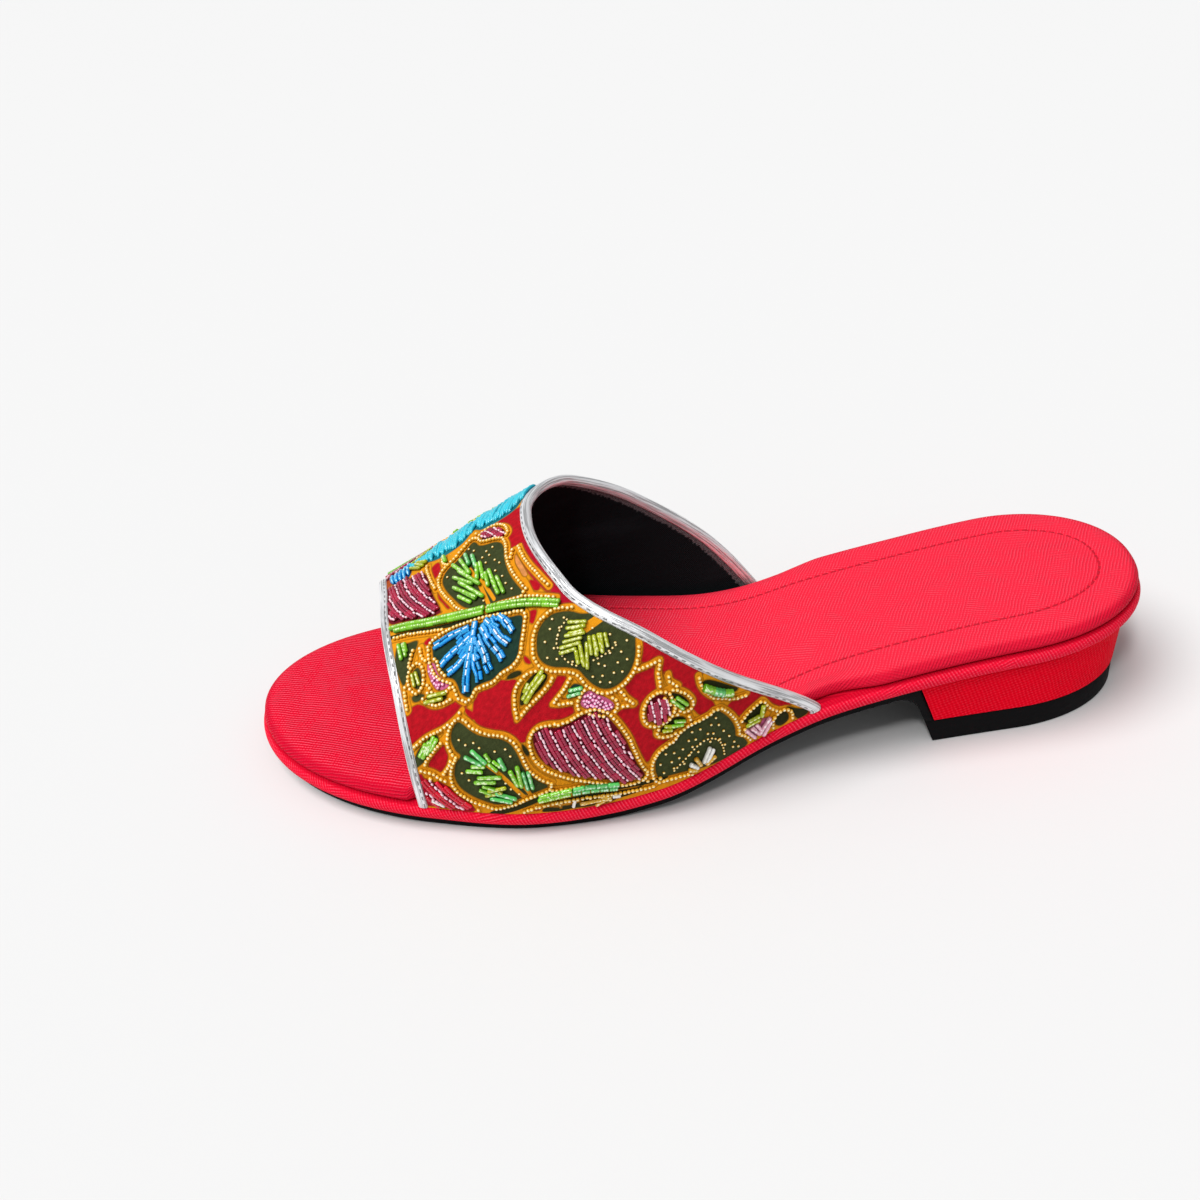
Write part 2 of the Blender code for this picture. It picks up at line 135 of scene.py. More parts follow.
# Patches of the printed cloth as (name, fill, bead row round it, outline). A doubled point is a corner
PATCHES = [
    ("upper_leaf", "olive", True, [
        (59.3, -0.3), (61, 1), (63.5, 3.2), (66.3, 4.4), (67.7, 6.2), (68, 9), (66.8, 13.2), (64.6, 18),
        (62.4, 22), (60.2, 24.2), (57, 26), (52, 27.3), (45.3, 29.6), (45.3, 29.6), (47.4, 25.5),
        (49.3, 20.5), (50.3, 15), (50.4, 10.5), (51.2, 7.8), (53, 5.8), (55.6, 4.5), (57.4, 3), (58.2, 1)]),
    ("round_leaf", "olive", True, [
        (43.4, 44.5), (42.9, 41.8), (41.5, 39.9), (39, 39), (36.5, 39.5), (33.8, 40.7), (31, 42.6),
        (26, 44.4), (22, 48), (18.6, 52.2), (18.4, 55.6), (18.8, 59), (20.2, 61.8), (22.5, 63.6),
        (25.2, 64.2), (27.8, 63.3), (30, 61.2), (31.8, 58.5), (33.4, 55.9), (36.2, 53.9), (39.6, 52),
        (42, 49.8), (43.3, 47.2)]),
    ("lower_leaf", "olive", True, [
        (66, 51.6), (67.6, 52.6), (68.2, 55), (67.4, 58.3), (66.2, 60.6), (67.8, 62.2), (68.5, 65),
        (67.8, 68.5), (66, 72), (63.6, 75.4), (61.2, 78.2), (58.2, 81.2), (54.5, 82.6), (50, 83),
        (46.5, 83.5), (43.6, 83.8), (43.6, 83.8), (46.2, 80.8), (48.6, 77.2), (50.2, 73.5), (51.2, 69.5),
        (52.7, 65.6), (55, 62.8), (58, 60.6), (61, 58), (63.2, 55.2), (64.6, 53)]),
    ("heel_leaf", "olive", True, [
        (14.9, 97.5), (15.7, 94.3), (15.4, 91.2), (14, 89.2), (11.8, 88.4), (9.7, 87.6), (8.4, 86.2),
        (6, 85.4), (3, 85.2), (0.5, 84.9), (-1.4, 83.7), (-1.4, 83.7), (-3.6, 86.5), (-5.3, 89.6),
        (-6.2, 92.6), (-6.4, 95.3), (-8.2, 96.9), (-9.3, 98.8), (-9, 100.5), (-3, 101.5), (3, 101),
        (8, 99.4), (12, 98.3)]),
    ("upper_petal", "maroon", False, [
        (87, -7), (83, -5.4), (80.4, -4.2), (77, -3.5), (74.2, -1.6), (72.6, 2), (71.8, 7), (70.6, 12),
        (69.2, 16.3), (68.5, 19.3), (68.5, 19.3), (72, 18.4), (76, 16), (80, 13.3), (83.4, 11.2), (85, 6),
        (86, 0)]),
    ("big_petal", "maroon", True, [
        (46.7, 67.2), (45.4, 66), (43, 66.6), (40, 68), (37, 68.5), (34, 68.2), (31, 68.5), (28.4, 70),
        (26.4, 72.7), (24.6, 76.2), (22.9, 80.4), (21.6, 85.2), (20.2, 90), (18.4, 94.4), (18.4, 94.4),
        (22, 94), (25.6, 92.6), (28.4, 90.5), (32, 88), (36, 85), (39.6, 81.6), (43, 78), (45.2, 74.4),
        (46.5, 70.6)]),
    ("berry", "maroon", True, [
        (17, 75.2), (16.3, 72.9), (14.4, 71.8), (12.3, 72.4), (11, 74.6), (10.5, 77.4), (12, 79.2),
        (14.5, 79.3), (16.4, 77.8)]),
    ("ridge_bud", "maroon", True, [
        (56.6, 0.3), (54.5, -0.7), (52, 0.4), (50.3, 3), (49.8, 5.8), (51.6, 5.4), (54.4, 3.5),
        (56.3, 1.9)]),
    ("striped_lobe", "crimson", True, [
        (79, 58.4), (76, 60), (73.4, 63.2), (70.6, 67), (68, 71), (65.6, 75.6), (64.2, 79.8), (67, 78.5),
        (71, 75), (75, 71.5), (79, 67.5)]),
    ("fan_ground", "teal", True, [
        (70.8, 27.6), (66, 27.7), (60, 29.4), (54, 31.6), (50, 33.4), (46.6, 35), (46.9, 38),
        (47.8, 41.4), (48.6, 44.2), (50.4, 45.5), (53.2, 45.7), (55.6, 46.5), (58.2, 46), (60.6, 45.8),
        (62.2, 47.3), (64.3, 45), (65, 42.5), (66, 40.3), (68.4, 38), (70, 35.4), (71, 32), (71.2, 29.5)]),
    ("front_leaf", "olive", False, [
        (81, 20.2), (78.6, 21.8), (75.4, 23.3), (76.3, 26), (77.6, 29), (79.6, 33.2), (81, 30), (82, 25)]),
    ("pointed_leaf", "bark", False, [
        (48.9, 57.2), (48.8, 54.4), (47.3, 52.3), (44.8, 51.2), (42.6, 51.8), (41.3, 53.4), (42.8, 55.3),
        (45.6, 56.4)]),
    ("leaf_tip", "teal", False, [(36.6, 60.6), (35, 58.9), (33, 60.2), (32.6, 61.8), (34.6, 62.3)]),
    ("berry_leaf", "bark", True, [
        (11.4, 72.2), (9, 73.6), (7.1, 75.5), (5.8, 78), (6.6, 79), (8.2, 77.6), (9.6, 75.6), (11, 73.8)]),
    ("berry_sepal", "bark", True, [
        (13.8, 82.2), (12, 80.8), (9.8, 80.4), (7.6, 81.3), (6.9, 82.9), (8.6, 83.9), (11, 84),
        (13, 83.4)]),
    ("front_bunch", "olive", False, [
        (79, 56), (78, 52.6), (75, 51), (72.2, 51), (71.6, 52.8), (73.8, 54.8), (76, 56)]),
    ("front_bud", "olive", True, [
        (76.9, 31.2), (75.6, 31), (74.8, 33), (74.8, 35.8), (75.9, 36.7), (77, 35), (77.3, 33)]),
    ("front_sliver", "bark", False, [
        (73.8, 40.2), (71.5, 41), (68.6, 42.8), (68.4, 43.8), (70.6, 43.4), (73.2, 41.8)]),
    ("front_scale", "olive", False, [(77.6, 37.6), (75.4, 38.2), (74.2, 39.4), (76, 39.8), (77.4, 39)]),
    ("fan_scale", "bark", False, [
        (52.3, 48.3), (50.5, 47.7), (48.6, 48.2), (47.8, 49.3), (49.6, 49.4), (51, 49)]),
    ("leaf_scale", "bark", False, [(49.8, 67.2), (49, 68.2), (48, 70.8), (48.6, 71.4), (49.6, 69.4)]),
    ("bean_ground", "bark", False, [
        (2, 74), (0.8, 73.6), (-1.5, 75), (-5.5, 78.3), (-7.5, 80.2), (-5.5, 80.6), (-2, 78.8),
        (0.6, 76.6)]),
    ("end_bud", "bark", True, [
        (-17.3, 96), (-18.2, 94.4), (-19.5, 93.9), (-20.8, 95.2), (-21, 97.5), (-19.2, 98.6),
        (-17.6, 97.8)]),
    ("end_leaf", "bark", False, [
        (-20.6, 92.8), (-23, 94.6), (-26.8, 97.2), (-24, 98.8), (-22.6, 97), (-21.4, 94.8)]),
    ("front_rose", "pink", True, [
        (72.6, 31.5), (71, 33), (70.2, 36), (68.6, 39), (67.2, 41), (69, 41.1), (71, 39.6), (72.3, 36.2),
        (72.9, 33.5)]),
    ("middle_rose", "pink", True, [
        (33.6, 65), (32.7, 62.9), (31, 62.5), (29.4, 64), (26.6, 66.6), (25.1, 68.8), (25.8, 70),
        (28, 69.7), (30.2, 68.2), (32.2, 66.8)]),
    ("end_rose", "pink", False, [
        (-9.4, 94), (-10.5, 97), (-12.6, 98.7), (-15.2, 98), (-16.2, 94.6), (-14, 93.8), (-12.8, 95.4),
        (-11, 93.7)]),
    ("end_sepal", "bark", False, [(-8.4, 91.8), (-10.4, 89.8), (-13.4, 88), (-14.8, 91), (-12.6, 93.4)]),
    ("salmon_leaf", "salmon", False, [
        (47.2, 15.8), (46.4, 18), (45.4, 21), (44.4, 24.5), (45.4, 24.3), (46.4, 21.5), (47.3, 18.5)]),
    ("ridge_spot", "red", False, [
        (71.6, -1.4), (70, -2.2), (69, -0.5), (68.8, 2), (70, 4.6), (71.4, 3.8), (71.9, 1)]),
    ("petal_gap", "red", False, [
        (69.4, 11.2), (68.4, 11.8), (67.4, 14.5), (66.1, 18), (66, 19.8), (66.7, 19.4), (68, 16.5),
        (69.2, 13.8)]),
    ("ridge_field", "red", False, [
        (51.5, -1.2), (48.5, -2.2), (42, -1.4), (41.5, 4), (42, 9), (45.4, 11.6), (47, 11.4), (48.4, 11),
        (48.6, 8.5), (47.9, 6), (48.3, 3), (50, 0.8)]),
    ("edge_strip", "crimson", False, [
        (45.1, 13), (44.7, 18), (43.6, 22), (42, 26), (39.8, 30), (36.8, 35), (34.5, 38.4), (31, 37),
        (31, 33), (34.5, 28), (37, 23), (39, 18), (40, 13)]),
    ("back_spot", "red", False, [(43.9, 26.6), (42.4, 27.8), (41.2, 30.2), (42.2, 30.6), (43.6, 29)]),
    ("fan_spot", "red", False, [(45, 35.3), (43.5, 35.2), (42.6, 36), (43.8, 38.5), (44.8, 37.5)]),
    ("leaf_spot", "red", False, [(47, 45.4), (46.2, 46), (45.2, 48), (46, 47.9), (46.9, 46.8)]),
    ("front_spot", "red", False, [(73.6, 25.2), (72, 24.8), (71.4, 26), (72.6, 26.6)]),
    ("front_field", "red", False, [
        (81, 42.6), (77.4, 41.4), (75.2, 42.9), (72.4, 45), (68.5, 46), (64.4, 47.3), (64.4, 48.6),
        (69, 49.4), (74, 49.2), (80.5, 50)]),
    ("slip", "red", False, [
        (64.3, 48.6), (63.6, 50.4), (62.2, 53.3), (60.8, 53), (61.8, 51.3), (63.2, 49.6)]),
    ("middle_field", "red", False, [
        (60.2, 50.2), (59.4, 48.7), (57.5, 48.2), (54.5, 48.8), (52, 50.2), (50.4, 51), (50.9, 53.5),
        (50.7, 57), (50.2, 60.2), (50.2, 60.2), (48, 59.6), (45, 58.5), (42, 57.2), (39.8, 54.7),
        (38, 54.7), (35.8, 56.1), (35.8, 56.1), (38, 58.6), (40.9, 61), (40.9, 61), (38, 62.6),
        (35.7, 63.8), (36.2, 66), (38.6, 67), (41.5, 66.1), (44.5, 65), (47, 65.2), (49, 65.8),
        (51.3, 63.5), (53.6, 60.6), (56.5, 58.4), (59.3, 55.8), (60.3, 53)]),
    ("red_oval", "red", True, [
        (75.4, 58.2), (74.5, 56.6), (72, 55.3), (70, 54.9), (69.2, 57), (69.9, 60.2), (71.6, 61.6),
        (73, 61.9), (74.6, 60.4)]),
    ("lobe_gap", "red", False, [
        (70.5, 63.5), (69.4, 64), (69, 67), (67.8, 70.5), (66.2, 73.4), (67.2, 73.4), (69, 70.8),
        (70.5, 67)]),
    ("berry_field", "red", False, [
        (24.4, 72.2), (22, 71), (19.7, 71.9), (18.6, 73.8), (18.5, 77), (17.1, 80.3), (16.7, 83.6),
        (14.8, 84.9), (11, 84.9), (13, 86.2), (16.4, 87.6), (18, 89.2), (19.4, 87), (20.8, 82.5),
        (22.4, 77.5)]),
    ("branch_field", "red", False, [
        (21.4, 66.2), (20, 64.2), (18.4, 63.2), (14.4, 63.8), (14, 66.5), (14.3, 69.2), (16.6, 69.8),
        (18.8, 71.2), (20.4, 70.4), (21.4, 68.6)]),
    ("peak_field", "red", False, [
        (18, 57), (17, 54), (12, 56), (9, 58.6), (12, 61.4), (14.5, 61.6), (17.6, 61.2)]),
    ("back_field", "red", False, [
        (11.6, 62.4), (8, 59.6), (3.5, 63.4), (0, 67), (3.1, 71), (3.6, 74.5), (2.2, 78), (0.2, 82.6),
        (2.2, 82.4), (3.8, 79.6), (5.4, 76), (7.4, 72.8), (9.6, 69.4), (11, 66.4)]),
    ("end_field", "red", False, [
        (-5, 85.4), (-7.4, 83.6), (-10.6, 83.2), (-13, 80.4), (-17, 83.4), (-13.8, 86), (-11.2, 87.4),
        (-8.4, 89.4), (-6.6, 88.6)]),
    ("end_gap", "red", False, [
        (-14.8, 87.4), (-16.2, 90), (-18, 91.6), (-20, 92.8), (-23.5, 91.5), (-20, 86.5), (-17, 84.6)]),
    ("end_corner", "red", False, [(-25.5, 97.2), (-27.5, 96), (-31, 97.4), (-31, 98.5), (-26, 98.5)]),
    ("foot_leaf", "olive", False, [
        (41.4, 90.6), (37, 91.4), (33, 92.8), (29, 94.6), (26.4, 95.8), (27, 98.4), (32, 97.6),
        (37, 95.6), (41.4, 93.2)]),
    ("foot_eye", "bark", False, [(44.6, 89.6), (43.4, 89.6), (43, 90.8), (44, 91.4), (45, 90.8)]),
    ("foot_spot", "red", False, [(49, 88.2), (47, 88.6), (46.4, 89.8), (48, 89.8)]),
    ("foot_tip", "bark", False, [
        (26, 95.8), (22.5, 96.9), (20, 98.1), (20.4, 99), (23, 98.5), (26, 97.5)]),
    ("ridge_rust", "rust", False, [(88, -14), (84.6, -13), (84.2, -9), (85, -6.4), (88, -7)]),
    ("ridge_blue", "deep_blue", False, [
        (84.2, -10.5), (83.6, -7), (81, -5), (78.6, -5), (78, -8), (78, -10.5)]),
    ("ridge_sea", "sea", False, [
        (78, -10.5), (74, -7), (70, -4), (66, -3), (62, -3.6), (59, -6.6), (56.5, -4), (51, -3),
        (46.5, -4), (44, -9), (44, -10.5)]),
]

# Lines of the print over the patches as (fill, width, path)
LINES = [
    ("bark", 1.2, [(83.4, 16.2), (78, 18.9), (72, 22.3), (66, 25.2), (60, 27.8), (54, 30.2), (46, 33.6)]),
    ("bark", 1.9, [(60, 83.6), (54, 85.4), (47.4, 86.2)]),
    ("bark", 1.3, [(26, 94.6), (20, 96.6), (13, 98.6)]),
    ("orange", 1.0, [(60.2, 10.5), (57.6, 18), (55.2, 26.4)]),
    ("orange", 0.9, [(57, 17), (53.6, 26)]),
    ("orange", 1.0, [(60.2, 66.4), (56, 73), (52.4, 80), (50.6, 83.4)]),
    ("orange", 0.9, [(53.8, 73), (50.2, 80.5), (49, 83.6)]),
    ("orange", 2.6, [(30.6, 46.4), (28.2, 45.8), (25.4, 45)]),
    ("orange", 0.9, [(44.2, 90), (41, 92.2), (36, 93.6)]),
    ("bark", 1.4, [(46, 90.8), (42, 93), (38, 94.4)]),
    ("bark", 1.3, [(30, 97), (25, 98), (20, 98.6)]),
]

# Rows of cream seed beads that follow no patch
BEAD_ROWS = [
    [(68, 22), (62, 24.6), (56, 26.6), (50, 28.5), (44.5, 30.9), (40, 33.6), (37.2, 35.4)],
    [(82.3, 17.6), (77, 20.2), (71.5, 23.4), (66, 26.4), (60, 28.9), (54, 31.2), (49, 33.2)],
    [(76.4, 25.2), (77.8, 29), (79, 32.6), (79.4, 36.5), (79, 40.6)],
    [(74.6, 25.8), (74.2, 28.6), (73.6, 30.6)],
    [(74.8, 39.6), (72.6, 42.6), (70, 44.4), (66.6, 45)],
    [(73.6, 39.2), (70.6, 41.4), (67.4, 43)],
    [(50.1, 60), (50.4, 56.5), (50, 53), (48.6, 51.2), (46.4, 50.2), (43.6, 50.8)],
    [(50.1, 60), (47, 58.4), (44, 57.2), (41.3, 55.8), (39.8, 54.2)],
    [(40.7, 61), (38, 59.3), (36.2, 57.6), (34.8, 55.9)],
    [(40.7, 61), (38.2, 62.4), (35.2, 63.4)],
    [(79.4, 50.6), (75, 50), (70, 50.7), (66.4, 50.2), (64.6, 49.4)],
    [(78, 57.6), (75.4, 56), (72.4, 54), (69.8, 53.2), (68.9, 52)],
    [(18.6, 62.4), (15.5, 62.6), (12.7, 62.5), (13.2, 65.5), (13, 69.8)],
    [(10.8, 67.2), (10.4, 69.4), (8.4, 71.6)],
    [(23.2, 65.6), (22, 68.4), (19.9, 71.3)],
    [(25.4, 70.8), (23, 70.2), (19.9, 71.3)],
    [(3, 71.2), (2.6, 74), (1.2, 77), (-0.8, 79.4), (-3.4, 80.8), (-6.4, 82.4), (-9.6, 82.9)],
    [(-7.4, 91), (-9.6, 88.9), (-13.6, 86.8)],
    [(-14, 87.2), (-15.8, 90.4), (-18, 92.6)],
    [(-8.4, 93.4), (-9.6, 96.4), (-11.2, 98.6)],
    [(-16.8, 93.6), (-16.6, 96.4), (-15.8, 98.4)],
    [(63, 80.8), (58, 82.6), (52, 83.9), (45, 84.7), (40, 86.8), (35, 88.9), (30, 91.4), (25, 93.9),
     (20, 95.8), (14, 97.7)],
    [(58, 86.2), (52, 87.5), (46, 88.8), (40, 91), (34, 93.4), (28, 95.6), (22, 97.6), (16, 99.3)],
    [(47.6, 13.6), (48.4, 17.5), (47.8, 21), (45.6, 25.6), (43.8, 31)],
    [(46.2, 13.6), (45.4, 17), (43.6, 22), (41, 27.2), (38.8, 31.4)],
    [(72.7, -3.4), (72.4, 0.5), (71, 6.5), (69.8, 10)],
    [(68, -2.6), (67.8, 1), (66.6, 3)],
    [(58, -3), (57.6, 0), (56.6, 2.6)],
]

# Dotted arcs of tiny beads in the leaves
DOT_ROWS = [
    [(34.6, 42), (36.4, 43.2), (37.7, 44.9), (38.2, 46.8), (37.8, 48.6), (36.8, 51), (35.2, 53.4),
     (33.2, 55)],
    [(29.8, 55.2), (26.5, 54.9), (22.8, 53.6)],
    [(11.2, 97.4), (8, 95.2), (5, 92.9), (2.6, 91.8), (0.2, 92.2), (-1.6, 94), (-2.7, 97), (-3, 100)],
]

# Bugle beads by their glass, as (width, start along, start girth, end along, end girth)
BUGLES = {
    "amber": [
        (1.3, 5, 96.2, 3.7, 99.3), (1.3, 7, 99.1, 4.8, 100.3), (1.3, -0.3, 98.3, 2.2, 99.8),
        (1.5, 36.4, 95.2, 31, 96.2), (1.3, 30.6, 95.6, 28, 97), (1.2, 32.2, 97, 28.2, 96),
        (1.1, 30.8, 94.6, 28.6, 96.2), (0.9, 42.4, 89.6, 41.6, 91.4), (1.1, 75, 71, 71.6, 74),
    ],
    "leaf_green": [
        (1.7, 63.9, 5.2, 60, 12.8), (1.7, 63.4, 10, 58.4, 18.4), (1.7, 63.2, 14.2, 57.7, 23.2),
        (1.5, 62.6, 18.4, 59, 22.8), (1.6, 57.2, 11.2, 57, 17.4), (1.6, 54.9, 16.2, 53.9, 21.8),
        (1.6, 52.8, 20.2, 51.6, 25.6), (1.6, 64.2, 65.4, 60.4, 68), (1.6, 62.4, 69.8, 57.2, 73.4),
        (1.5, 61.9, 73.2, 58.4, 76), (1.2, 59.5, 64, 58.4, 66.8), (1.4, 58.3, 67.2, 56.4, 70.4),
        (1.7, 52.7, 72.6, 51.4, 78.4), (1.5, 80, 21.2, 79.2, 26), (1.3, 78.9, 21.8, 78.4, 24.8),
        (1.5, 76.6, 54.2, 74.7, 52.2), (1.5, 75.4, 54, 73.5, 51.9), (1.5, 74.1, 53.6, 72.2, 51.7),
        (1.5, 9.8, 74.4, 6.9, 78.4), (1.4, 10.4, 81.8, 7.6, 82.9), (1.3, 67.6, -2, 67, 1.2),
        (2.3, 2, 74.8, -0.6, 77), (2.2, -2.8, 78.6, -5.4, 79.9),
    ],
    "olive_glass": [
        (1.5, 60.4, 75.6, 55.8, 77.4), (1.5, 35, 43.6, 30.8, 45.4), (1.5, 34.4, 45.3, 30.9, 46.4),
        (1.5, 36.2, 46.9, 31.2, 47.7), (1.5, 37.6, 49.1, 32.6, 49.8), (1.4, 33, 50.8, 32.5, 54.6),
        (1.5, 31.6, 50, 31.2, 56), (1.5, 29.2, 48.8, 29, 54), (1.5, 27.9, 49, 27.5, 53.8),
        (1.5, 26.5, 49.4, 25.8, 53.2), (1.6, 73.2, 40.8, 69, 43), (1.4, 76.5, 32, 75.9, 35.8),
        (1.6, 48, 56.4, 45.5, 54.2), (1.6, 45.4, 54.2, 42.4, 52.2), (1.2, 47.6, 54.4, 46.4, 52.6),
        (1.4, 12.9, 82, 10.4, 83), (1.5, -9.4, 92.5, -12.8, 92.3), (1.3, -13.9, 88.6, -13.3, 92),
        (1.4, 77.6, -8.8, 74.4, -5), (1.3, 75.8, -8.6, 73, -5.6),
    ],
    "pearl": [
        (1.3, 6.5, 97.4, 4.5, 99.7), (1.5, 0.5, 95.5, 2.6, 99.2), (1.2, -1.2, 100, 1.6, 100.8),
        (1.1, 27.6, 96.4, 25.6, 97.2), (0.9, 38.2, 94.2, 37.6, 92.2), (1, 75.6, 68.4, 72.4, 72.4),
        (0.8, 74.6, 72.4, 71.8, 74.8),
    ],
    "rose_glass": [
        (1.6, -9.6, 94.2, -12.2, 98.4), (1.6, -13.2, 98.2, -15.8, 94.6), (1.4, -11.4, 94.2, -12.6, 97),
    ],
    "sea_green": [
        (1.3, 61, 4.2, 59.9, 9.4), (1.3, 59, 6.6, 58, 12), (1.7, 63.9, 61.2, 60.2, 66.6),
        (1.6, 58.7, 77.8, 53.6, 81.8), (1.3, 56, 67.4, 54.8, 71.4), (1.5, 49.8, 75.2, 48.7, 81.2),
        (1.5, 78.2, 54.6, 76.6, 53.6), (1.5, 36.4, 60.6, 33.2, 61.2), (2.4, -0.4, 76.9, -3, 78.7),
    ],
}

# Stems as two rows of short bugles side by side, as (glass, width, path)
STEMS = [
    ("leaf_green", 2.7, [(83.3, 14.3), (78, 17), (72, 20.4), (66, 23.4), (60, 26.2), (56.2, 27.7)]),
    ("leaf_green", 2.5, [(55.4, 28), (51, 29.7), (46, 32), (41, 34.7), (36.4, 37.4)]),
    ("leaf_green", 2.7, [(47, 85.6), (43, 86.9), (38.4, 88.4)]),
    ("sea_green", 2.7, [(38, 88.6), (33.6, 90.2), (25.8, 93.5)]),
]

# Fingers of the blue fan as (root, tip), in order from the toe side
FAN = [
    ((60.5, 29.6), (70.5, 28.4)),
    ((60.4, 32.4), (69.0, 34.7)),
    ((61.4, 36.6), (67.0, 38.3)),
    ((58.8, 29.3), (63.2, 45.6)),
    ((59.8, 37.4), (59.0, 45.0)),
    ((58.2, 34.6), (55.8, 44.4)),
    ((57.4, 31.6), (52.5, 43.3)),
    ((56.0, 30.6), (50.8, 40.3)),
    ((52.4, 31.4), (48.8, 37.7)),
]
FAN_SPREAD, FAN_BEAD, FAN_WIDTH, FAN_DASH, FAN_DASH_WIDTH, FAN_WEB = 0.56, 2.1, 1.2, 2.1, 0.62, 0.4
FAN_WAVE, FAN_TURNS, FAN_MISSING, FAN_SCATTER, FAN_OVERLAP = 0.3, 1.1, 0.08, 0.08, 1.1

# Rows that cross a petal as (patch, first start, last start, step, lean, bend, start girth, end girth)
PETAL_ROWS = [
    ("big_petal", 47.6, 15.0, 2.65, 0.23, 0.0065, 66.0, 96.0),
    ("upper_petal", 87.6, 70.0, 2.5, 0.08, 0.012, -7.0, 20.0),
    ("striped_lobe", 82.0, 66.0, 2.7, 0.35, 0.008, 58.0, 80.0),
    ("berry", 19.5, 10.0, 1.9, 0.1, 0.0, 71.0, 80.0),
    ("ridge_bud", 58.6, 50.0, 1.7, 0.55, 0.0, -1.0, 6.0),
]

# Lower ends of the turquoise strands along the ridge
RIDGE_FRINGE = named_rows(
    "along girth",
    (44.6, -7.2), (46.5, -5.2), (51, -4.2), (56, -4.8), (58.8, -7), (61.5, -5), (66, -4.2), (70, -5.2),
    (74, -7.2), (78, -8.4), (83.4, -9.2),
)
RIDGE_STEP, RIDGE_WIDTH, RIDGE_RAGGED, RIDGE_BULGE = 0.66, 1.2, 0.7, 0.4
BLUE_TUFT = [(83.4, -6.8), (82.2, -5.8), (81.0, -5.2), (79.8, -5.2), (78.7, -6.0)]

# Turned shapes as (share of the length, share of the half width)
SEED_SHAPE = np.array([(-0.5, 0.42), (-0.3, 0.92), (0.0, 1.04), (0.3, 0.92), (0.5, 0.42)])
BUGLE_SHAPE = np.array(
    [(-0.5, 0.5), (-0.45, 0.9), (-0.32, 1.0), (-0.16, 0.88), (0.0, 1.0),
     (0.16, 0.88), (0.32, 1.0), (0.45, 0.9), (0.5, 0.5)]
)
STRAND_SIDES = 8
STEM_BUGLE, STEM_STAGGER, STEM_SPREAD, STEM_SHARE, STEM_OVERLAP = 2.6, 0.14, 0.2, 0.6, 1.05
BUGLE_STRETCH, BUGLE_GLEAM = 1.12, 0.74
PAIR_WIDTHS, PAIR_SPREAD, PAIR_SHARE, PAIR_SHIFT, PAIR_UNEVEN = (1.35, 2.0), 0.4, 0.84, 0.1, 0.08
THREAD_SHAPE = np.array([(-0.5, 0.3), (-0.32, 0.9), (0.32, 0.9), (0.5, 0.3)])

# Facets round large and small beads, and the room beads leave to the bindings and to the vamp's feet
BEAD_SIDES, SMALL_SIDES = 8, 6
SEED_GAP, SEED_LENGTH, SEED_SCATTER = 0.86, 0.9, 0.06
SEED_ROOM, DOT_ROOM, BUGLE_ROOM, FAN_ROOM = (0.4, 0.5), (0.5, 0.8), (1.2, 0.9), (0.5, 0.8)
STEM_ROOM, PETAL_ROOM, RIDGE_ROOM = (1.2, 0.6), (0.5, 0.6), (-0.6, 1.0)
DOT_LEAVES = ("upper_leaf", "round_leaf", "lower_leaf", "heel_leaf")
DOT_SCATTER, DOT_FROM_EDGE, DOT_FROM_BUGLE, DOT_ARC_PITCH, DOT_ARC_SHARE = 0.28, 1.2, 1.7, 1.15, 0.9
TUFT_WIDTH, TUFT_BULGE, TUFT_RINGS, RIDGE_RINGS = 1.3, 0.5, 16, 20
PETAL_PITCH, PETAL_BEAD, PETAL_MARGIN, PETAL_SCATTER = 1.3, 0.75, 0.2, 0.13
WINE_PITCH, WINE_LENGTH, WINE_WIDTH, WINE_MARGIN = 2.3, 2.45, 1.2, 0.4
WINE_LANES = {"fore": 0.34, "aft": 0.66}
ROSETTE_PITCH, ROSETTE_BEAD, ROSETTE_SCATTER, ROSETTE_MARGIN = 0.95, 0.9, 0.12, 0.35

# Turns between neighbouring faces, in radians, that are shaded as corners
RUBBER_CORNER, HEEL_CORNER, CLOTH_CORNER, FOIL_CORNER = 0.5, 0.6, 0.9, 1.0

# Lights as (name, direction from the shoe, strength, width in degrees), the sky and the floor
LIGHTS = [
    ("broad_light", (0.42, 0.12, 0.90), 2.3, 40.0),
    ("sparkle_light", (0.25, 0.50, 0.83), 0.75, 8.0),
]
SKY_STRENGTH = 0.30
FLOOR_REACH, FLOOR_CELLS = 8.0, 8

# Camera of the photograph: place, turn and focal length for a picture 1200 pixels across
CAMERA_PLACE = (29.489, 327.001, 286.104)
CAMERA_YAW, CAMERA_PITCH, CAMERA_ROLL = -1.5818, -0.6507, -0.0863
PICTURE_WIDTH, FOCAL_PIXELS, SENSOR = 1200, 1458.8, 36.0


def smooth_curve(table, column):
    """A curve through one column of a table, with no overshoot between the rows."""
    x = table[table.dtype.names[0]]
    y = table[column]
    step = np.diff(x)
    rise = np.diff(y) / step
    slope = np.zeros_like(y)
    before, after = rise[:-1], rise[1:]
    near, far = 2 * step[1:] + step[:-1], step[1:] + 2 * step[:-1]
    turning = before * after <= 0
    safe_before = np.where(turning, 1.0, before)
    safe_after = np.where(turning, 1.0, after)
    slope[1:-1] = np.where(turning, 0.0, (near + far) / (near / safe_before + far / safe_after))
    slope[0], slope[-1] = rise[0], rise[-1]

    def value(at):
        at = np.clip(at, x[0], x[-1])
        k = np.clip(np.searchsorted(x, at) - 1, 0, len(step) - 1)
        t = (at - x[k]) / step[k]
        bend_a = slope[k] * step[k] - (y[k + 1] - y[k])
        bend_b = (y[k + 1] - y[k]) - slope[k + 1] * step[k]
        return y[k] + t * (y[k + 1] - y[k]) + t * (1 - t) * ((1 - t) * bend_a + t * bend_b)

    return value


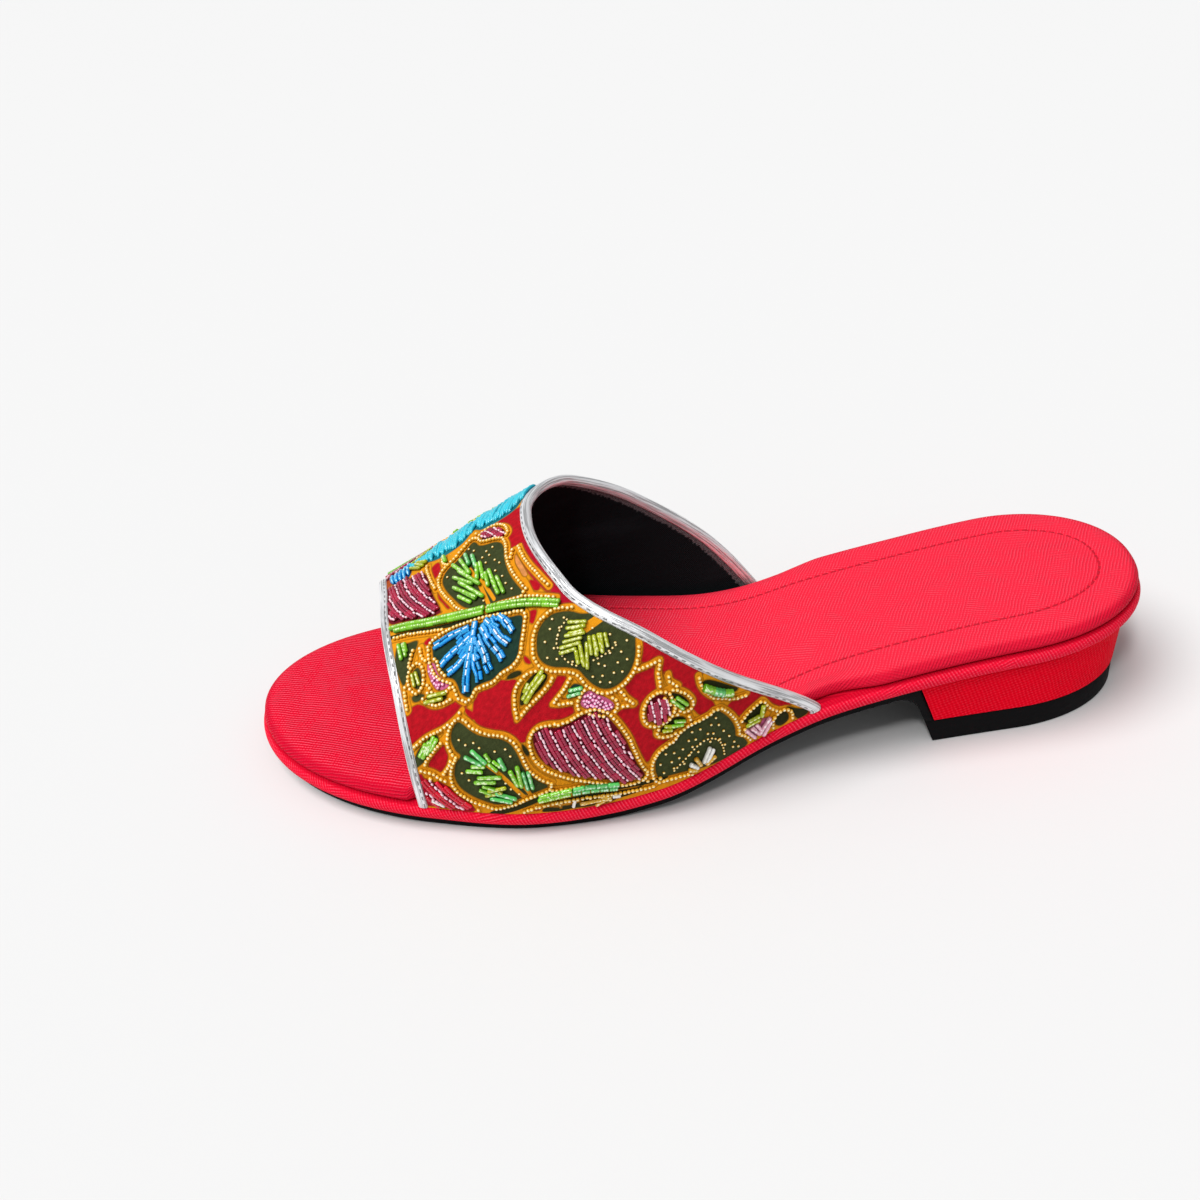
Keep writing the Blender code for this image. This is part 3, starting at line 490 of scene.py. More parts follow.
outer_width = smooth_curve(OUTLINE, "outer")
inner_width = smooth_curve(OUTLINE, "inner")
rim_height = smooth_curve(PROFILE, "rim_top")
crest_height = smooth_curve(CREST, "height")
crest_offset = smooth_curve(CREST, "offset")
back_edge = smooth_curve(BACK_EDGE, "x")
front_edge = smooth_curve(FRONT_EDGE, "x")
pad_edge_inset = smooth_curve(PAD_EDGE, "inset")
pad_edge_height = smooth_curve(PAD_EDGE, "height")
ridge_fringe = smooth_curve(RIDGE_FRINGE, "girth")


def rim_top(x):
    """Height of the rim's top at a distance along the shoe."""
    return rim_height(x / LENGTH + 0.5)


def under_rim(x):
    """Height just under the rim."""
    return rim_top(x) - RIM_THICKNESS - GAP


def rounding(station):
    """How far the outline closes in at the heel and at the toe, from 0 at the tip to 1."""
    heel = np.clip((HEEL_CAP - station) / HEEL_CAP, 0.0, 1.0)
    toe = np.clip((station - 1.0 + TOE_CAP) / TOE_CAP, 0.0, 1.0)
    return (1 - heel**HEEL_POWER) ** (1 / HEEL_POWER) * (1 - toe**TOE_POWER) ** (1 / TOE_POWER)


def rim_ring():
    """The rim's outline from the heel round the outer side to the toe and back, and its inward normals."""
    station = 0.5 - 0.5 * np.cos(np.linspace(0.0, np.pi, STATIONS + 1))
    x = (station - 0.5) * LENGTH
    close = rounding(station)
    outer = np.stack([x, outer_width(station) * close], -1)
    inner = np.stack([x, -inner_width(station) * close], -1)
    ring = np.vstack([outer, inner[-2:0:-1]])
    along = np.roll(ring, -1, 0) - np.roll(ring, 1, 0)
    along /= np.linalg.norm(along, axis=1)[:, None]
    return ring, np.stack([along[:, 1], -along[:, 0]], -1)


RIM, INWARD = rim_ring()
CENTRE_Y = (RIM[:, 1].max() + RIM[:, 1].min()) / 2


def side(x, inset, outer):
    """Y of the inset outline on its outer or inner side, at a distance along the shoe."""
    flat = RIM + INWARD * inset
    half = flat[: STATIONS + 1] if outer else np.vstack([flat[:1], flat[: STATIONS - 1 : -1]])
    return np.interp(x, half[:, 0], half[:, 1])


def vamp_surface(angle, x):
    """Outer face of the vamp: a rounded arch over the foot, by angle in degrees and distance along."""
    turn = np.radians(angle)
    foot_outer, foot_inner = side(x, VAMP_INSET, True), side(x, VAMP_INSET, False)
    crest = crest_offset(x)
    cosine, sine = np.cos(turn), np.sin(turn)
    reach = np.where(cosine > 0, foot_outer - crest, crest - foot_inner)
    y = crest + reach * np.sign(cosine) * np.abs(cosine) ** (2 / VAMP_WIDTH_POWER)
    z = rim_top(x) + GAP + crest_height(x) * np.abs(sine) ** (2 / VAMP_HEIGHT_POWER)
    return np.stack([x, y, z], -1)


def unit(vectors):
    """Vectors brought to length one."""
    return vectors / np.linalg.norm(vectors, axis=-1, keepdims=True)


def foot_to_foot(count):
    """Angles from one foot of the vamp to the other with both ends doubled, and the drop of those ends."""
    angle = np.concatenate([[0.0], np.linspace(0.0, 180.0, count), [180.0]])
    drop = np.zeros(len(angle))
    drop[[0, -1]] = FOOT_TURN
    return angle, drop


def beside(step):
    """Directions of the chart after a quarter turn."""
    return np.stack([-step[..., 1], step[..., 0]], -1)


def run_along(path):
    """Length along a path at each of its points."""
    return np.append(0.0, np.cumsum(np.linalg.norm(np.diff(path, axis=0), axis=1)))


def along_path(path, run, at):
    """Places between the points of a path, at lengths along it."""
    return np.stack([np.interp(at, run, column) for column in path.T], -1)


def vamp_normal(angle, x):
    """Outward normal of the vamp's outer face."""
    low, high = np.clip(angle - NUDGE, 0, 180), np.clip(angle + NUDGE, 0, 180)
    over = vamp_surface(high, x) - vamp_surface(low, x)
    along = vamp_surface(angle, x + NUDGE) - vamp_surface(angle, x - NUDGE)
    return unit(np.cross(over, along))


def wall_point(angle, x, depth):
    """A point in the vamp's wall, at a depth under its outer face."""
    return vamp_surface(angle, x) - vamp_normal(angle, x) * np.asarray(depth)[..., None]


class FlatVamp:
    """The vamp's outer face laid out flat, by distance along the shoe and girth from the crest.

    Each section across the shoe is measured along its arch, and its points are spread again at equal
    girths, so that a place in the chart is read between the four nearest points.
    """

    ALONG = np.arange(-46.0, 101.0, 0.5)
    GIRTH = np.arange(-100.0, 115.0, 0.5)
    ANGLE = np.linspace(0.0, 180.0, 541)

    def __init__(self):
        angle, along = np.meshgrid(self.ANGLE, self.ALONG)
        points = vamp_surface(angle, along)
        steps = np.linalg.norm(np.diff(points, axis=1), axis=-1)
        run = np.concatenate([np.zeros((len(self.ALONG), 1)), np.cumsum(steps, axis=1)], axis=1)
        self.girth = run[:, [len(self.ANGLE) // 2]] - run
        rows = []
        for girth, row in zip(self.girth, points):
            spread = [np.interp(self.GIRTH, girth[::-1], row[::-1, axis]) for axis in range(3)]
            turn = np.interp(self.GIRTH, girth[::-1], self.ANGLE[::-1])
            below = np.maximum(self.GIRTH - girth[0], 0.0) + np.maximum(girth[-1] - self.GIRTH, 0.0)
            spread[2] = spread[2] - below
            rows.append(np.stack([*spread, turn], -1))
        self.table = np.stack(rows)
        over = np.gradient(self.table[..., :3], axis=1)
        onward = np.gradient(self.table[..., :3], axis=0)
        self.normals = unit(np.cross(onward, over))
        angle = np.linspace(0.0, 180.0, 181)
        front, back = front_edge(angle), back_edge(angle)
        self.front = np.stack([front, self.girth_at(angle, front)], -1)
        self.back = np.stack([back, self.girth_at(angle, back)], -1)
        self.feet = [
            np.stack([self.ALONG, self.girth[:, 0]], -1),
            np.stack([self.ALONG, self.girth[:, -1]], -1),
        ]

    @staticmethod
    def between(table, row, column):
        """A table read between its rows and columns."""
        row = np.clip(row, 0, table.shape[0] - 1.001)
        column = np.clip(column, 0, table.shape[1] - 1.001)
        i, j = row.astype(int), column.astype(int)
        a, b = (row - i)[..., None], (column - j)[..., None]
        upper = table[i, j] * (1 - b) + table[i, j + 1] * b
        lower = table[i + 1, j] * (1 - b) + table[i + 1, j + 1] * b
        return upper * (1 - a) + lower * a

    def girth_at(self, angle, along):
        """Girth of a place given by its angle round the foot."""
        row = (along - self.ALONG[0]) / (self.ALONG[1] - self.ALONG[0])
        column = angle / (self.ANGLE[1] - self.ANGLE[0])
        return self.between(self.girth[..., None], row, column)[..., 0]

    def at(self, chart):
        """Points and normals of the cloth at places of the chart."""
        row = (chart[..., 0] - self.ALONG[0]) / (self.ALONG[1] - self.ALONG[0])
        column = (chart[..., 1] - self.GIRTH[0]) / (self.GIRTH[1] - self.GIRTH[0])
        place = self.between(self.table, row, column)
        return place[..., :3], unit(self.between(self.normals, row, column)), place[..., 3]

    def clear(self, chart, edge, foot):
        """True where a place lies inside the cloth and leaves some room to the bindings and the feet."""
        angle = self.at(chart)[2]
        inside = (chart[:, 0] < front_edge(angle)) & (chart[:, 0] > back_edge(angle))
        inside &= chart[:, 1] < np.interp(chart[:, 0], *self.feet[0].T) - foot
        inside &= chart[:, 1] > np.interp(chart[:, 0], *self.feet[1].T) + foot
        for border in (self.front, self.back):
            inside &= path_distance(chart, border) > BINDING_WIDTH + edge
        return inside


VAMP = FlatVamp()


def path_distance(points, path):
    """Distance from each point to the nearest segment of a path."""
    start, step = path[:-1], np.diff(path, axis=0)
    away = points[:, None] - start
    part = np.clip((away * step).sum(-1) / np.maximum((step * step).sum(-1), 1e-9), 0.0, 1.0)
    return np.linalg.norm(away - part[..., None] * step, axis=-1).min(1)


def signed_distance(points, loop):
    """Distance from each point to a closed outline, positive inside by the even-odd rule."""
    closed = np.vstack([loop, loop[:1]])
    start, step = closed[:-1], np.diff(closed, axis=0)
    across = (start[:, 1] > points[:, 1, None]) != (closed[1:, 1] > points[:, 1, None])
    rise = np.where(step[:, 1] == 0, 1e-9, step[:, 1])
    meet = start[:, 0] + step[:, 0] * (points[:, 1, None] - start[:, 1]) / rise
    inside = (across & (points[:, 0, None] < meet)).sum(1) % 2 == 1
    return path_distance(points, closed) * np.where(inside, 1.0, -1.0)


def smooth_path(points, closed=False):
    """A Catmull-Rom curve through given points: each span bends with its two neighbours."""
    points = np.array(points, float)
    if closed:
        ring = np.vstack([points[-1:], points, points[:2]])
    else:
        ring = np.vstack([2 * points[:1] - points[1:2], points, 2 * points[-1:] - points[-2:-1]])
    t = np.arange(SPAN_STEPS)[:, None] / SPAN_STEPS
    a, b, c, d = (ring[k : len(ring) - 3 + k, None] for k in range(4))
    curve = 2 * b + (c - a) * t
    curve = curve + (2 * a - 5 * b + 4 * c - d) * t**2 + (3 * b - a - 3 * c + d) * t**3
    curve = (0.5 * curve).reshape(-1, 2)
    return curve if closed else np.vstack([curve, points[-1:]])


def mirrored(chart):
    """Places of the chart turned over onto the inner side, which is narrower.

    A place keeps its share of the angle from the mirror line to the foot, and its share of the way
    from the back edge to the front edge.
    """
    chart = np.array(chart, float)
    angle = VAMP.at(chart)[2]
    part = (chart[..., 0] - back_edge(angle)) / (front_edge(angle) - back_edge(angle))
    turned = 180.0 - angle * (180.0 - MIRROR_ANGLE) / MIRROR_ANGLE
    along = back_edge(turned) + part * (front_edge(turned) - back_edge(turned))
    return np.stack([along, VAMP.girth_at(turned, along)], -1)


def both_sides(chart):
    """A path of the chart on the outer side and on the inner side."""
    return np.array(chart, float), mirrored(chart)


def to_frame(points):
    """Millimetres from the line between heel and toe to metres in the frame."""
    return (points - [0.0, CENTRE_Y, 0.0]) * MM


def ring_faces(rows, count):
    """Quads between neighbouring closed rings."""
    k = np.arange(count)
    j = (k + 1) % count
    base = np.arange(rows - 1)[:, None] * count
    return np.stack([base + k, base + j, base + count + j, base + count + k], -1).reshape(-1, 4).tolist()


def across_cap(count, start):
    """Strips that close a ring of paired points from one tip to the other."""
    half = count // 2
    strips = [(0, 1, count - 1), (half, half - 1, half + 1)]
    strips += [(k, k + 1, count - k - 1, count - k) for k in range(1, half - 1)]
    return [[start + k for k in strip] for strip in strips]


def legs_cap(count, start):
    """Strips that close a ring whose first half and second half run side by side."""
    return [[start + k for k in (j, j + 1, count - j - 2, count - j - 1)] for j in range(count // 2 - 1)]


def heel_cap(count, start):
    """Strips that close a heel outline, from its back to its straight front."""
    strips = [(0, 1, count - 1)]
    strips += [(k, k + 1, count - k - 1, count - k) for k in range(1, count // 2)]
    return [[start + k for k in strip] for strip in strips]


def whole_cap(count, start):
    """One face over a whole ring."""
    return [list(range(start, start + count))]


def ring_solid(rings, cap):
    """Points and faces of closed rings joined into one solid, capped at both ends."""
    rings = np.asarray(rings)
    rows, count = rings.shape[:2]
    faces = ring_faces(rows, count) + cap(count, 0) + cap(count, (rows - 1) * count)
    return rings.reshape(-1, 3), faces


def put(name, data):
    """A new object in the scene."""
    made = bpy.data.objects.new(name, data)
    bpy.context.scene.collection.objects.link(made)
    return made


def add_piece(name, solid, finish, node=None, sharp=None):
    """Puts points and faces into a mesh with its faces outward, and rides it on the shoe."""
    points, faces = solid
    mesh = bpy.data.meshes.new(name)
    mesh.from_pydata(to_frame(points).tolist(), [], faces)
    work = bmesh.new()
    work.from_mesh(mesh)
    bmesh.ops.recalc_face_normals(work, faces=work.faces)
    work.to_mesh(mesh)
    work.free()
    mesh.shade_smooth()
    if sharp is not None:
        mesh.set_sharp_from_angle(angle=sharp)
    mesh.materials.append(finish)
    piece = put(name, mesh)
    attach(piece, BODY)
    if node:
        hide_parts(node)
    return piece


def add_uv(piece, name, places, turn_length=None):
    """Gives every corner its vertex's place on the cover; a closed cover is cut where it comes round."""
    mesh = piece.data
    corner = np.empty(len(mesh.loops), int)
    mesh.loops.foreach_get("vertex_index", corner)
    uv = np.asarray(places, float)[corner]
    if turn_length:
        start = np.empty(len(mesh.polygons), int)
        mesh.polygons.foreach_get("loop_start", start)
        count = np.diff(np.append(start, len(corner)))
        reach = np.maximum.reduceat(uv[:, 0], start) - np.minimum.reduceat(uv[:, 0], start)
        split = np.repeat(reach > turn_length / 2, count)
        uv[split & (uv[:, 0] < turn_length / 2), 0] += turn_length
    mesh.uv_layers.new(name=name).data.foreach_set("uv", uv.ravel())


def add_values(piece, name, values):
    """Gives every vertex one number that the finish reads."""
    piece.data.attributes.new(name, "FLOAT", "POINT").data.foreach_set("value", np.asarray(values, float))


def add_colours(piece, name, colours):
    """Gives every vertex a colour that the finish reads."""
    full = np.column_stack([colours, np.ones(len(colours))])
    piece.data.attributes.new(name, "FLOAT_COLOR", "POINT").data.foreach_set("color", full.ravel())


class Value:
    """A shader socket that takes part in sums; each operation on it adds a Math node."""

    def __init__(self, finish, socket):
        self.finish = finish
        self.socket = socket

    def math(self, operation, *others):
        sockets = dict(enumerate((self, *others)))
        return self.finish.node("ShaderNodeMath", {"operation": operation}, sockets)

    def reflected(self, operation, other):
        return self.finish.node("ShaderNodeMath", {"operation": operation}, {0: other, 1: self})

    def __add__(self, other):
        return self.math("ADD", other)

    __radd__ = __add__

    def __sub__(self, other):
        return self.math("SUBTRACT", other)

    def __rsub__(self, other):
        return self.reflected("SUBTRACT", other)

    def __mul__(self, other):
        return self.math("MULTIPLY", other)

    __rmul__ = __mul__

    def __truediv__(self, other):
        return self.math("DIVIDE", other)

    def between(self, low, high):
        """0 below low, 1 above high, and an eased step between them."""
        traits = {"interpolation_type": "SMOOTHSTEP"}
        return self.finish.node("ShaderNodeMapRange", traits, {"Value": self, 1: low, 2: high})


class Finish:
    """One material's nodes round its Principled shader."""

    def __init__(self, name, **sockets):
        self.material = bpy.data.materials.new(name)
        self.material.use_nodes = True
        self.tree = self.material.node_tree
        self.shader = self.tree.nodes["Principled BSDF"]
        self.set(**sockets)

    def fill(self, socket, value):
        """Links a Value to a socket, or sets the socket's own number or colour."""
        if isinstance(value, Value):
            self.tree.links.new(value.socket, socket)
        elif socket.type == "RGBA":
            socket.default_value = (*value[:3], 1.0)
        else:
            socket.default_value = value

    def node(self, kind, traits, sockets, output=0):
        """A node of a kind: its own traits first, then the values or links of its sockets."""
        made = self.tree.nodes.new(kind)
        for key, value in traits.items():
            setattr(made, key, value)
        for key, value in sockets.items():
            self.fill(made.inputs[key], value)
        return Value(self, made.outputs[output])

    def set(self, **sockets):
        """Sets or links the shader's sockets, named with underscores for spaces."""
        for key, value in sockets.items():
            self.fill(self.shader.inputs[key.replace("_", " ")], value)

    def uv(self, name):
        return self.node("ShaderNodeUVMap", {"uv_map": name}, {})

    def place(self):
        return self.node("ShaderNodeTexCoord", {}, {}, "Object")

    def attribute(self, name, output="Fac"):
        return self.node("ShaderNodeAttribute", {"attribute_name": name}, {}, output)

    def parts(self, vector):
        """The three numbers of a vector."""
        made = self.node("ShaderNodeSeparateXYZ", {}, {0: vector})
        return [Value(self, socket) for socket in made.socket.node.outputs]

    def noise(self, vector, scale, detail=2.0, roughness=0.5):
        sockets = {"Vector": vector, "Scale": scale, "Detail": detail, "Roughness": roughness}
        return self.node("ShaderNodeTexNoise", {}, sockets)

    def stretched(self, vector, scale):
        """A vector multiplied part by part."""
        return self.node("ShaderNodeVectorMath", {"operation": "MULTIPLY"}, {0: vector, 1: scale})

    def mix(self, share, first, second):
        """A colour between two others."""
        return self.node("ShaderNodeMix", {"data_type": "RGBA"}, {0: share, 6: first, 7: second}, 2)

    def bump(self, height, distance, strength=1.0):
        """Small relief of a height from 0 to 1, over a distance in metres."""
        sockets = {"Height": height, "Distance": distance, "Strength": strength}
        self.set(Normal=self.node("ShaderNodeBump", {}, sockets))


def ease(value, low, high):
    """0 below low, 1 above high, and a soft step between them."""
    part = np.clip((np.asarray(value, float) - low) / (high - low), 0.0, 1.0)
    return part * part * (3 - 2 * part)


def shade(colour, factor):
    """A colour made darker or lighter."""
    return tuple(min(channel * factor, 1.0) for channel in colour)


def leathercloth(name, colour, pitch, gloss_and_painted_highlight, toe=None, cross=0.0):
    """Red leathercloth: two sets of fine slanting ribs that take turns in small fields.

    The first set runs nearly across the shoe. Beyond the toe line, if there is one, the second set,
    which runs nearly along it, stands out instead and takes a stronger painted highlight on its crests.
    Where the sets cross fully they make small diamonds. Painted shade darkens the rib hollows and a
    painted highlight lightens the rib crests; the fold value paints shade on the pad's rolled side and
    foot, in the stitched groove, on the rim's top by the pad and its underside, and on the heel's top
    under the rim.
    """
    finish = Finish(name, Specular_IOR_Level=0.3 * gloss_and_painted_highlight)
    cover = finish.uv("cover")
    along, across, _ = finish.parts(cover)
    wander = finish.noise(cover, 0.05, 2.0) * 2.0 + finish.noise(cover, 0.5, 2.0) * 0.4
    fields = finish.noise(cover, 0.09, 2.0)
    if toe is not None:
        fields = fields + along.between(toe - 25.0, toe + 25.0) * 0.5
        front = along.between(toe - 20.0, toe + 20.0)
        contrast = along.between(-60.0, 20.0) * 0.25 + front * 0.4 + 0.35
    else:
        front = along * 0.0
        contrast = 0.7
    turn = 2 * np.pi / pitch
    steep = ((along * 0.9 - across * 0.43 + wander) * turn).math("SINE")
    level = ((along * 0.3 + across * 0.95 + wander) * turn).math("SINE")
    second = fields.between(0.53, 0.62) * (1 - cross) + 0.62 * cross
    crisp = finish.noise(cover, 0.22, 3.0).between(0.3, 0.72) * 0.2 + 0.2 + front * 0.12
    ribs = (steep * (1 - second) + level * second) * crisp
    crossing = steep * second + level * (1 - second)
    pores = finish.noise(cover, 1.6, 2.0)
    height = ribs + crossing * 0.1 + pores * 0.44 + 0.28
    worn = finish.noise(cover, 0.03, 3.0).between(0.35, 0.7)

    def tinted(shares):
        return tuple(channel * share for channel, share in zip(colour, shares))

    # Painted shade in the rib hollows and a painted highlight on the rib crests, both set by the contrast
    painted_shade_tone = tinted((0.82, 0.12, 0.4))
    ground = finish.mix(front, colour, tinted((0.97, 0.2, 0.6)))
    painted_highlight = finish.mix(front, (1.0, 0.20, 0.28), (1.0, 0.12, 0.19))
    tone = finish.mix((1 - height.between(0.34, 0.58)) * contrast, ground, painted_shade_tone)
    tone = finish.mix(worn * 0.3 * (1 - front), tone, shade(colour, 0.92))
    # Painted highlight on the rib crests, stronger beyond the toe line
    highlight_tops = height.between(front * 0.1 + 0.62, 0.84)
    tone = finish.mix(highlight_tops * contrast * gloss_and_painted_highlight * (front + 6.0), tone, painted_highlight)
    # Painted shade from the fold value: a darker, deeper red on the pad's rolled side and dark red in the
    # grooves
    fold = finish.attribute("fold")
    tone = finish.mix(fold.between(0.04, 0.36) * 0.85, tone, tinted((0.68, 0.06, 0.4)))
    finish.set(
        Base_Color=finish.mix(fold.between(0.4, 0.75) * 0.4, tone, shade(colour, 0.22)),
        Roughness=0.56 - height * 0.16,
    )
    finish.bump(height, 0.00024)
    return finish.material


def black_rubber(name, colour, scale):
    """Matt black rubber with a fine moulded grain and faint scuffs."""
    finish = Finish(name, Specular_IOR_Level=0.05)
    place = finish.place()
    grain = finish.noise(place, scale, 3.0)
    scuff = finish.noise(finish.stretched(place, (1.0, 1.0, 6.0)), 90.0, 4.0).between(0.55, 0.8)
    tone = finish.mix(scuff * 0.5, colour, shade(colour, 2.2))
    finish.set(Base_Color=tone, Roughness=0.55 + grain * 0.2)
    finish.bump(grain, 0.0001)
    return finish.material


class SlideSettings(bpy.types.PropertyGroup):
    """Sizes and colours of the slide's finishes."""

    def colour(name, description, default):
        return bpy.props.FloatVectorProperty(
            name=name, description=description, default=default, subtype="COLOR", min=0.0, max=1.0
        )

    def length(name, description, default):
        return bpy.props.FloatProperty(name=name, description=description, default=default, min=0.0)

    bead_width: length("Seed bead", "Width of a seed bead in millimetres", 1.08)
    bead_pitch: length("Bead pitch", "Distance from one seed bead to the next in millimetres", 1.14)
    dot_width: length("Dot bead", "Width of the tiny beads in the leaves in millimetres", 0.66)
    dot_pitch: length("Dot spacing", "Distance between the tiny beads in a leaf in millimetres", 2.5)
    stitch_pitch: length("Stitch", "Length of one stitch in millimetres", 2.5)
    rib_pitch: length("Rib pitch", "Distance between the leathercloth's ribs in millimetres", 0.85)
    cover: colour("Cover", "Red leathercloth of the insole", (0.94, 0.030, 0.066))
    rim_cover: colour("Rim cover", "Leathercloth of the rim", (0.95, 0.012, 0.050))
    heel_cover: colour("Heel cover", "Deeper red of the heel block", (0.93, 0.003, 0.022))
    rubber: colour("Rubber", "Outsole and top lift", (0.005, 0.005, 0.0055))
    lining: colour("Lining", "Black cloth inside the vamp", (0.005, 0.008, 0.009))
    silver: colour("Silver", "Foil of the bindings", (0.88, 0.89, 0.91))
    orange: colour("Orange", "Ground of the print", (0.88, 0.34, 0.008))
    red: colour("Red", "Plain fields of the print", (0.58, 0.006, 0.016))
    crimson: colour("Crimson", "Strips of the print", (0.55, 0.006, 0.028))
    olive: colour("Olive", "Leaves of the print", (0.056, 0.070, 0.022))
    bark: colour("Bark", "Dark lines of the print", (0.03, 0.032, 0.008))
    teal: colour("Teal", "Ground under the blue fan", (0.018, 0.055, 0.036))
    maroon: colour("Maroon", "Petals of the print", (0.20, 0.008, 0.02))
    pink: colour("Pink", "Rosettes of the print", (0.82, 0.17, 0.38))
    salmon: colour("Salmon", "Pale leaf at the back edge", (0.86, 0.34, 0.10))
    rust: colour("Rust", "Patch at the front of the ridge", (0.55, 0.10, 0.02))
    deep_blue: colour("Deep blue", "Patch at the front of the ridge", (0.01, 0.09, 0.30))
    sea: colour("Sea", "Ground under the turquoise strands", (0.01, 0.22, 0.26))
    cream: colour("Cream", "Seed beads", (0.86, 0.42, 0.02))
    rose_glass: colour("Rose glass", "Beads of the petals", (0.84, 0.36, 0.46))
    rosette: colour("Rosette", "Close-set beads of the rosettes", (0.90, 0.20, 0.44))
    wine_glass: colour("Wine glass", "Bugles of the petals", (0.32, 0.006, 0.032))
    ruby_glass: colour("Ruby glass", "Bugles of the striped lobe", (0.62, 0.004, 0.022))
    leaf_green: colour("Leaf green", "Bugles of the leaves and stems", (0.16, 0.48, 0.015))
    sea_green: colour("Sea green", "Paler bugles of the leaves", (0.08, 0.46, 0.09))
    olive_glass: colour("Olive glass", "Yellow-green bugles", (0.32, 0.37, 0.005))
    blue_glass: colour("Blue glass", "Beads of the fan and of the tuft", (0.003, 0.21, 0.64))
    turquoise: colour("Turquoise", "Strands along the ridge", (0.02, 0.50, 0.66))
    pearl: colour("Pearl", "White bugles", (0.82, 0.80, 0.70))
    amber: colour("Amber", "Gold bugles", (0.62, 0.30, 0.012))
    floor: colour("Floor", "Studio floor", (0.81, 0.81, 0.81))


def settings():
    """The slide's sizes and colours."""
    return bpy.context.scene.slide


def heel_front(height):
    """X of the heel block's front face, behind the breast flap."""
    return BREAST_FOOT + BREAST_SLOPE * height - FLAP_THICKNESS - GAP


def heel_top_front():
    """X of the heel block's front where it meets the underside of the rim."""
    front = BREAST_FOOT
    for _ in range(20):
        front = heel_front(under_rim(front))
    return float(front)


def heel_ring(front, inset, height):
    """A heel outline from the middle of the back to a straight front, lifted to a height."""
    back = -LENGTH / 2 + inset
    x = back + (front - back) * (1 - np.cos(np.linspace(0.0, np.pi / 2, 61)))
    outer = np.column_stack([x, side(x, inset, True)])
    inner = np.column_stack([x, side(x, inset, False)])
    flat = np.vstack([outer, inner[:0:-1]])
    return np.column_stack([flat, height(flat[:, 0])])


def ring_lengths(ring):
    """Length along a closed ring at each of its points, and once round."""
    steps = np.linalg.norm(np.roll(ring, -1, 0) - ring, axis=1)
    return np.append(0.0, np.cumsum(steps)[:-1]), steps.sum()


def outsole_underside():
    """Side view of the outsole's lower face: toe, tread and arch, a round cove, and the breast flap."""
    drop = RIM_THICKNESS + GAP + OUTSOLE_THICKNESS
    lean = np.arctan(BREAST_SLOPE)
    x = np.linspace(BREAST_FOOT, 0.0, 400)
    arch = rim_top(x) - drop
    slant = np.gradient(arch, x)
    under = COVE_RADIUS / np.hypot(1, slant)
    away = np.stack([x + slant * under, arch - under], -1)
    clear = (away[:, 0] - BREAST_FOOT - BREAST_SLOPE * away[:, 1]) * np.cos(lean)
    k = int(np.argmax(clear >= COVE_RADIUS))
    turn = np.linspace(np.pi / 2 + np.arctan(slant[k]), np.pi - lean, 25)
    cove = away[k] + COVE_RADIUS * np.stack([np.cos(turn), np.sin(turn)], -1)
    toe = LENGTH / 2 - OUTSOLE_INSET
    tip = toe - TOE_CAP * LENGTH * (1 - np.sin(np.linspace(np.pi / 2, 0.0, 61)))
    run = np.concatenate([tip, np.linspace(tip[-1], cove[0, 0], 82)[1:-1]])
    sole = np.stack([run, np.maximum(rim_top(run) - drop, 0.0)], -1)
    level = np.linspace(cove[-1, 1], LIFT_THICKNESS + GAP, 9)[1:]
    flap = np.stack([BREAST_FOOT + BREAST_SLOPE * level, level], -1)
    return np.vstack([sole, cove, flap]), len(sole)


def outsole_sheet():
    """A sheet with rounded edges that follows the sole and turns down over the heel's breast."""
    lower, sole = outsole_underside()
    corner, foot = heel_top_front() + GAP, LIFT_THICKNESS + GAP
    upper = lower.copy()
    upper[:sole, 1] = under_rim(lower[:sole, 0])
    rest = len(lower) - sole
    bend = np.linspace(upper[sole - 1, 0], corner, rest // 2 + 1)[1:]
    drop = np.linspace(under_rim(corner), foot, rest - len(bend) + 1)[1:]
    upper[sole : sole + len(bend)] = np.stack([bend, under_rim(bend)], -1)
    upper[sole + len(bend) :] = np.stack([heel_front(drop) + GAP, drop], -1)
    inset = np.full(len(lower), OUTSOLE_INSET)
    inset[sole:] = np.linspace(OUTSOLE_INSET, HEEL_FOOT_INSET, rest)
    outer = np.array([side(x, margin, True) for x, margin in zip(lower[:, 0], inset)])
    inner = np.array([side(x, margin, False) for x, margin in zip(lower[:, 0], inset)])
    half = (outer - inner) / 2
    edge = np.minimum(OUTSOLE_EDGE, half * 0.4)
    steps = [(lower, upper, edge, 0.0), (lower, upper, 0.0, 0.2)]
    steps += [(upper, lower, 0.0, 0.2), (upper, lower, edge, 0.0)]
    corners = []
    for border, inward, order in ((outer, -1, steps), (inner, 1, steps[::-1])):
        for point, other, away, lift in order:
            level = point + (other - point) * lift
            corners.append(np.column_stack([level[:, 0], border + inward * away, level[:, 1]]))
    return ring_solid(np.stack(corners, 1), whole_cap)


def lift_slab():
    """The heel's outline as a slab with eased edges."""
    levels = [(LIFT_EDGE, 0.0), (LIFT_EDGE * 0.3, LIFT_EDGE * 0.3), (0.0, LIFT_EDGE)]
    levels += [(0.0, LIFT_THICKNESS - LIFT_EDGE), (LIFT_EDGE / 2, LIFT_THICKNESS)]
    rings = []
    for extra, level in levels:
        front = BREAST_FOOT + BREAST_SLOPE * level - extra
        rings.append(heel_ring(front, LIFT_INSET + extra, lambda x: 0 * x + level))
    return ring_solid(rings, heel_cap)


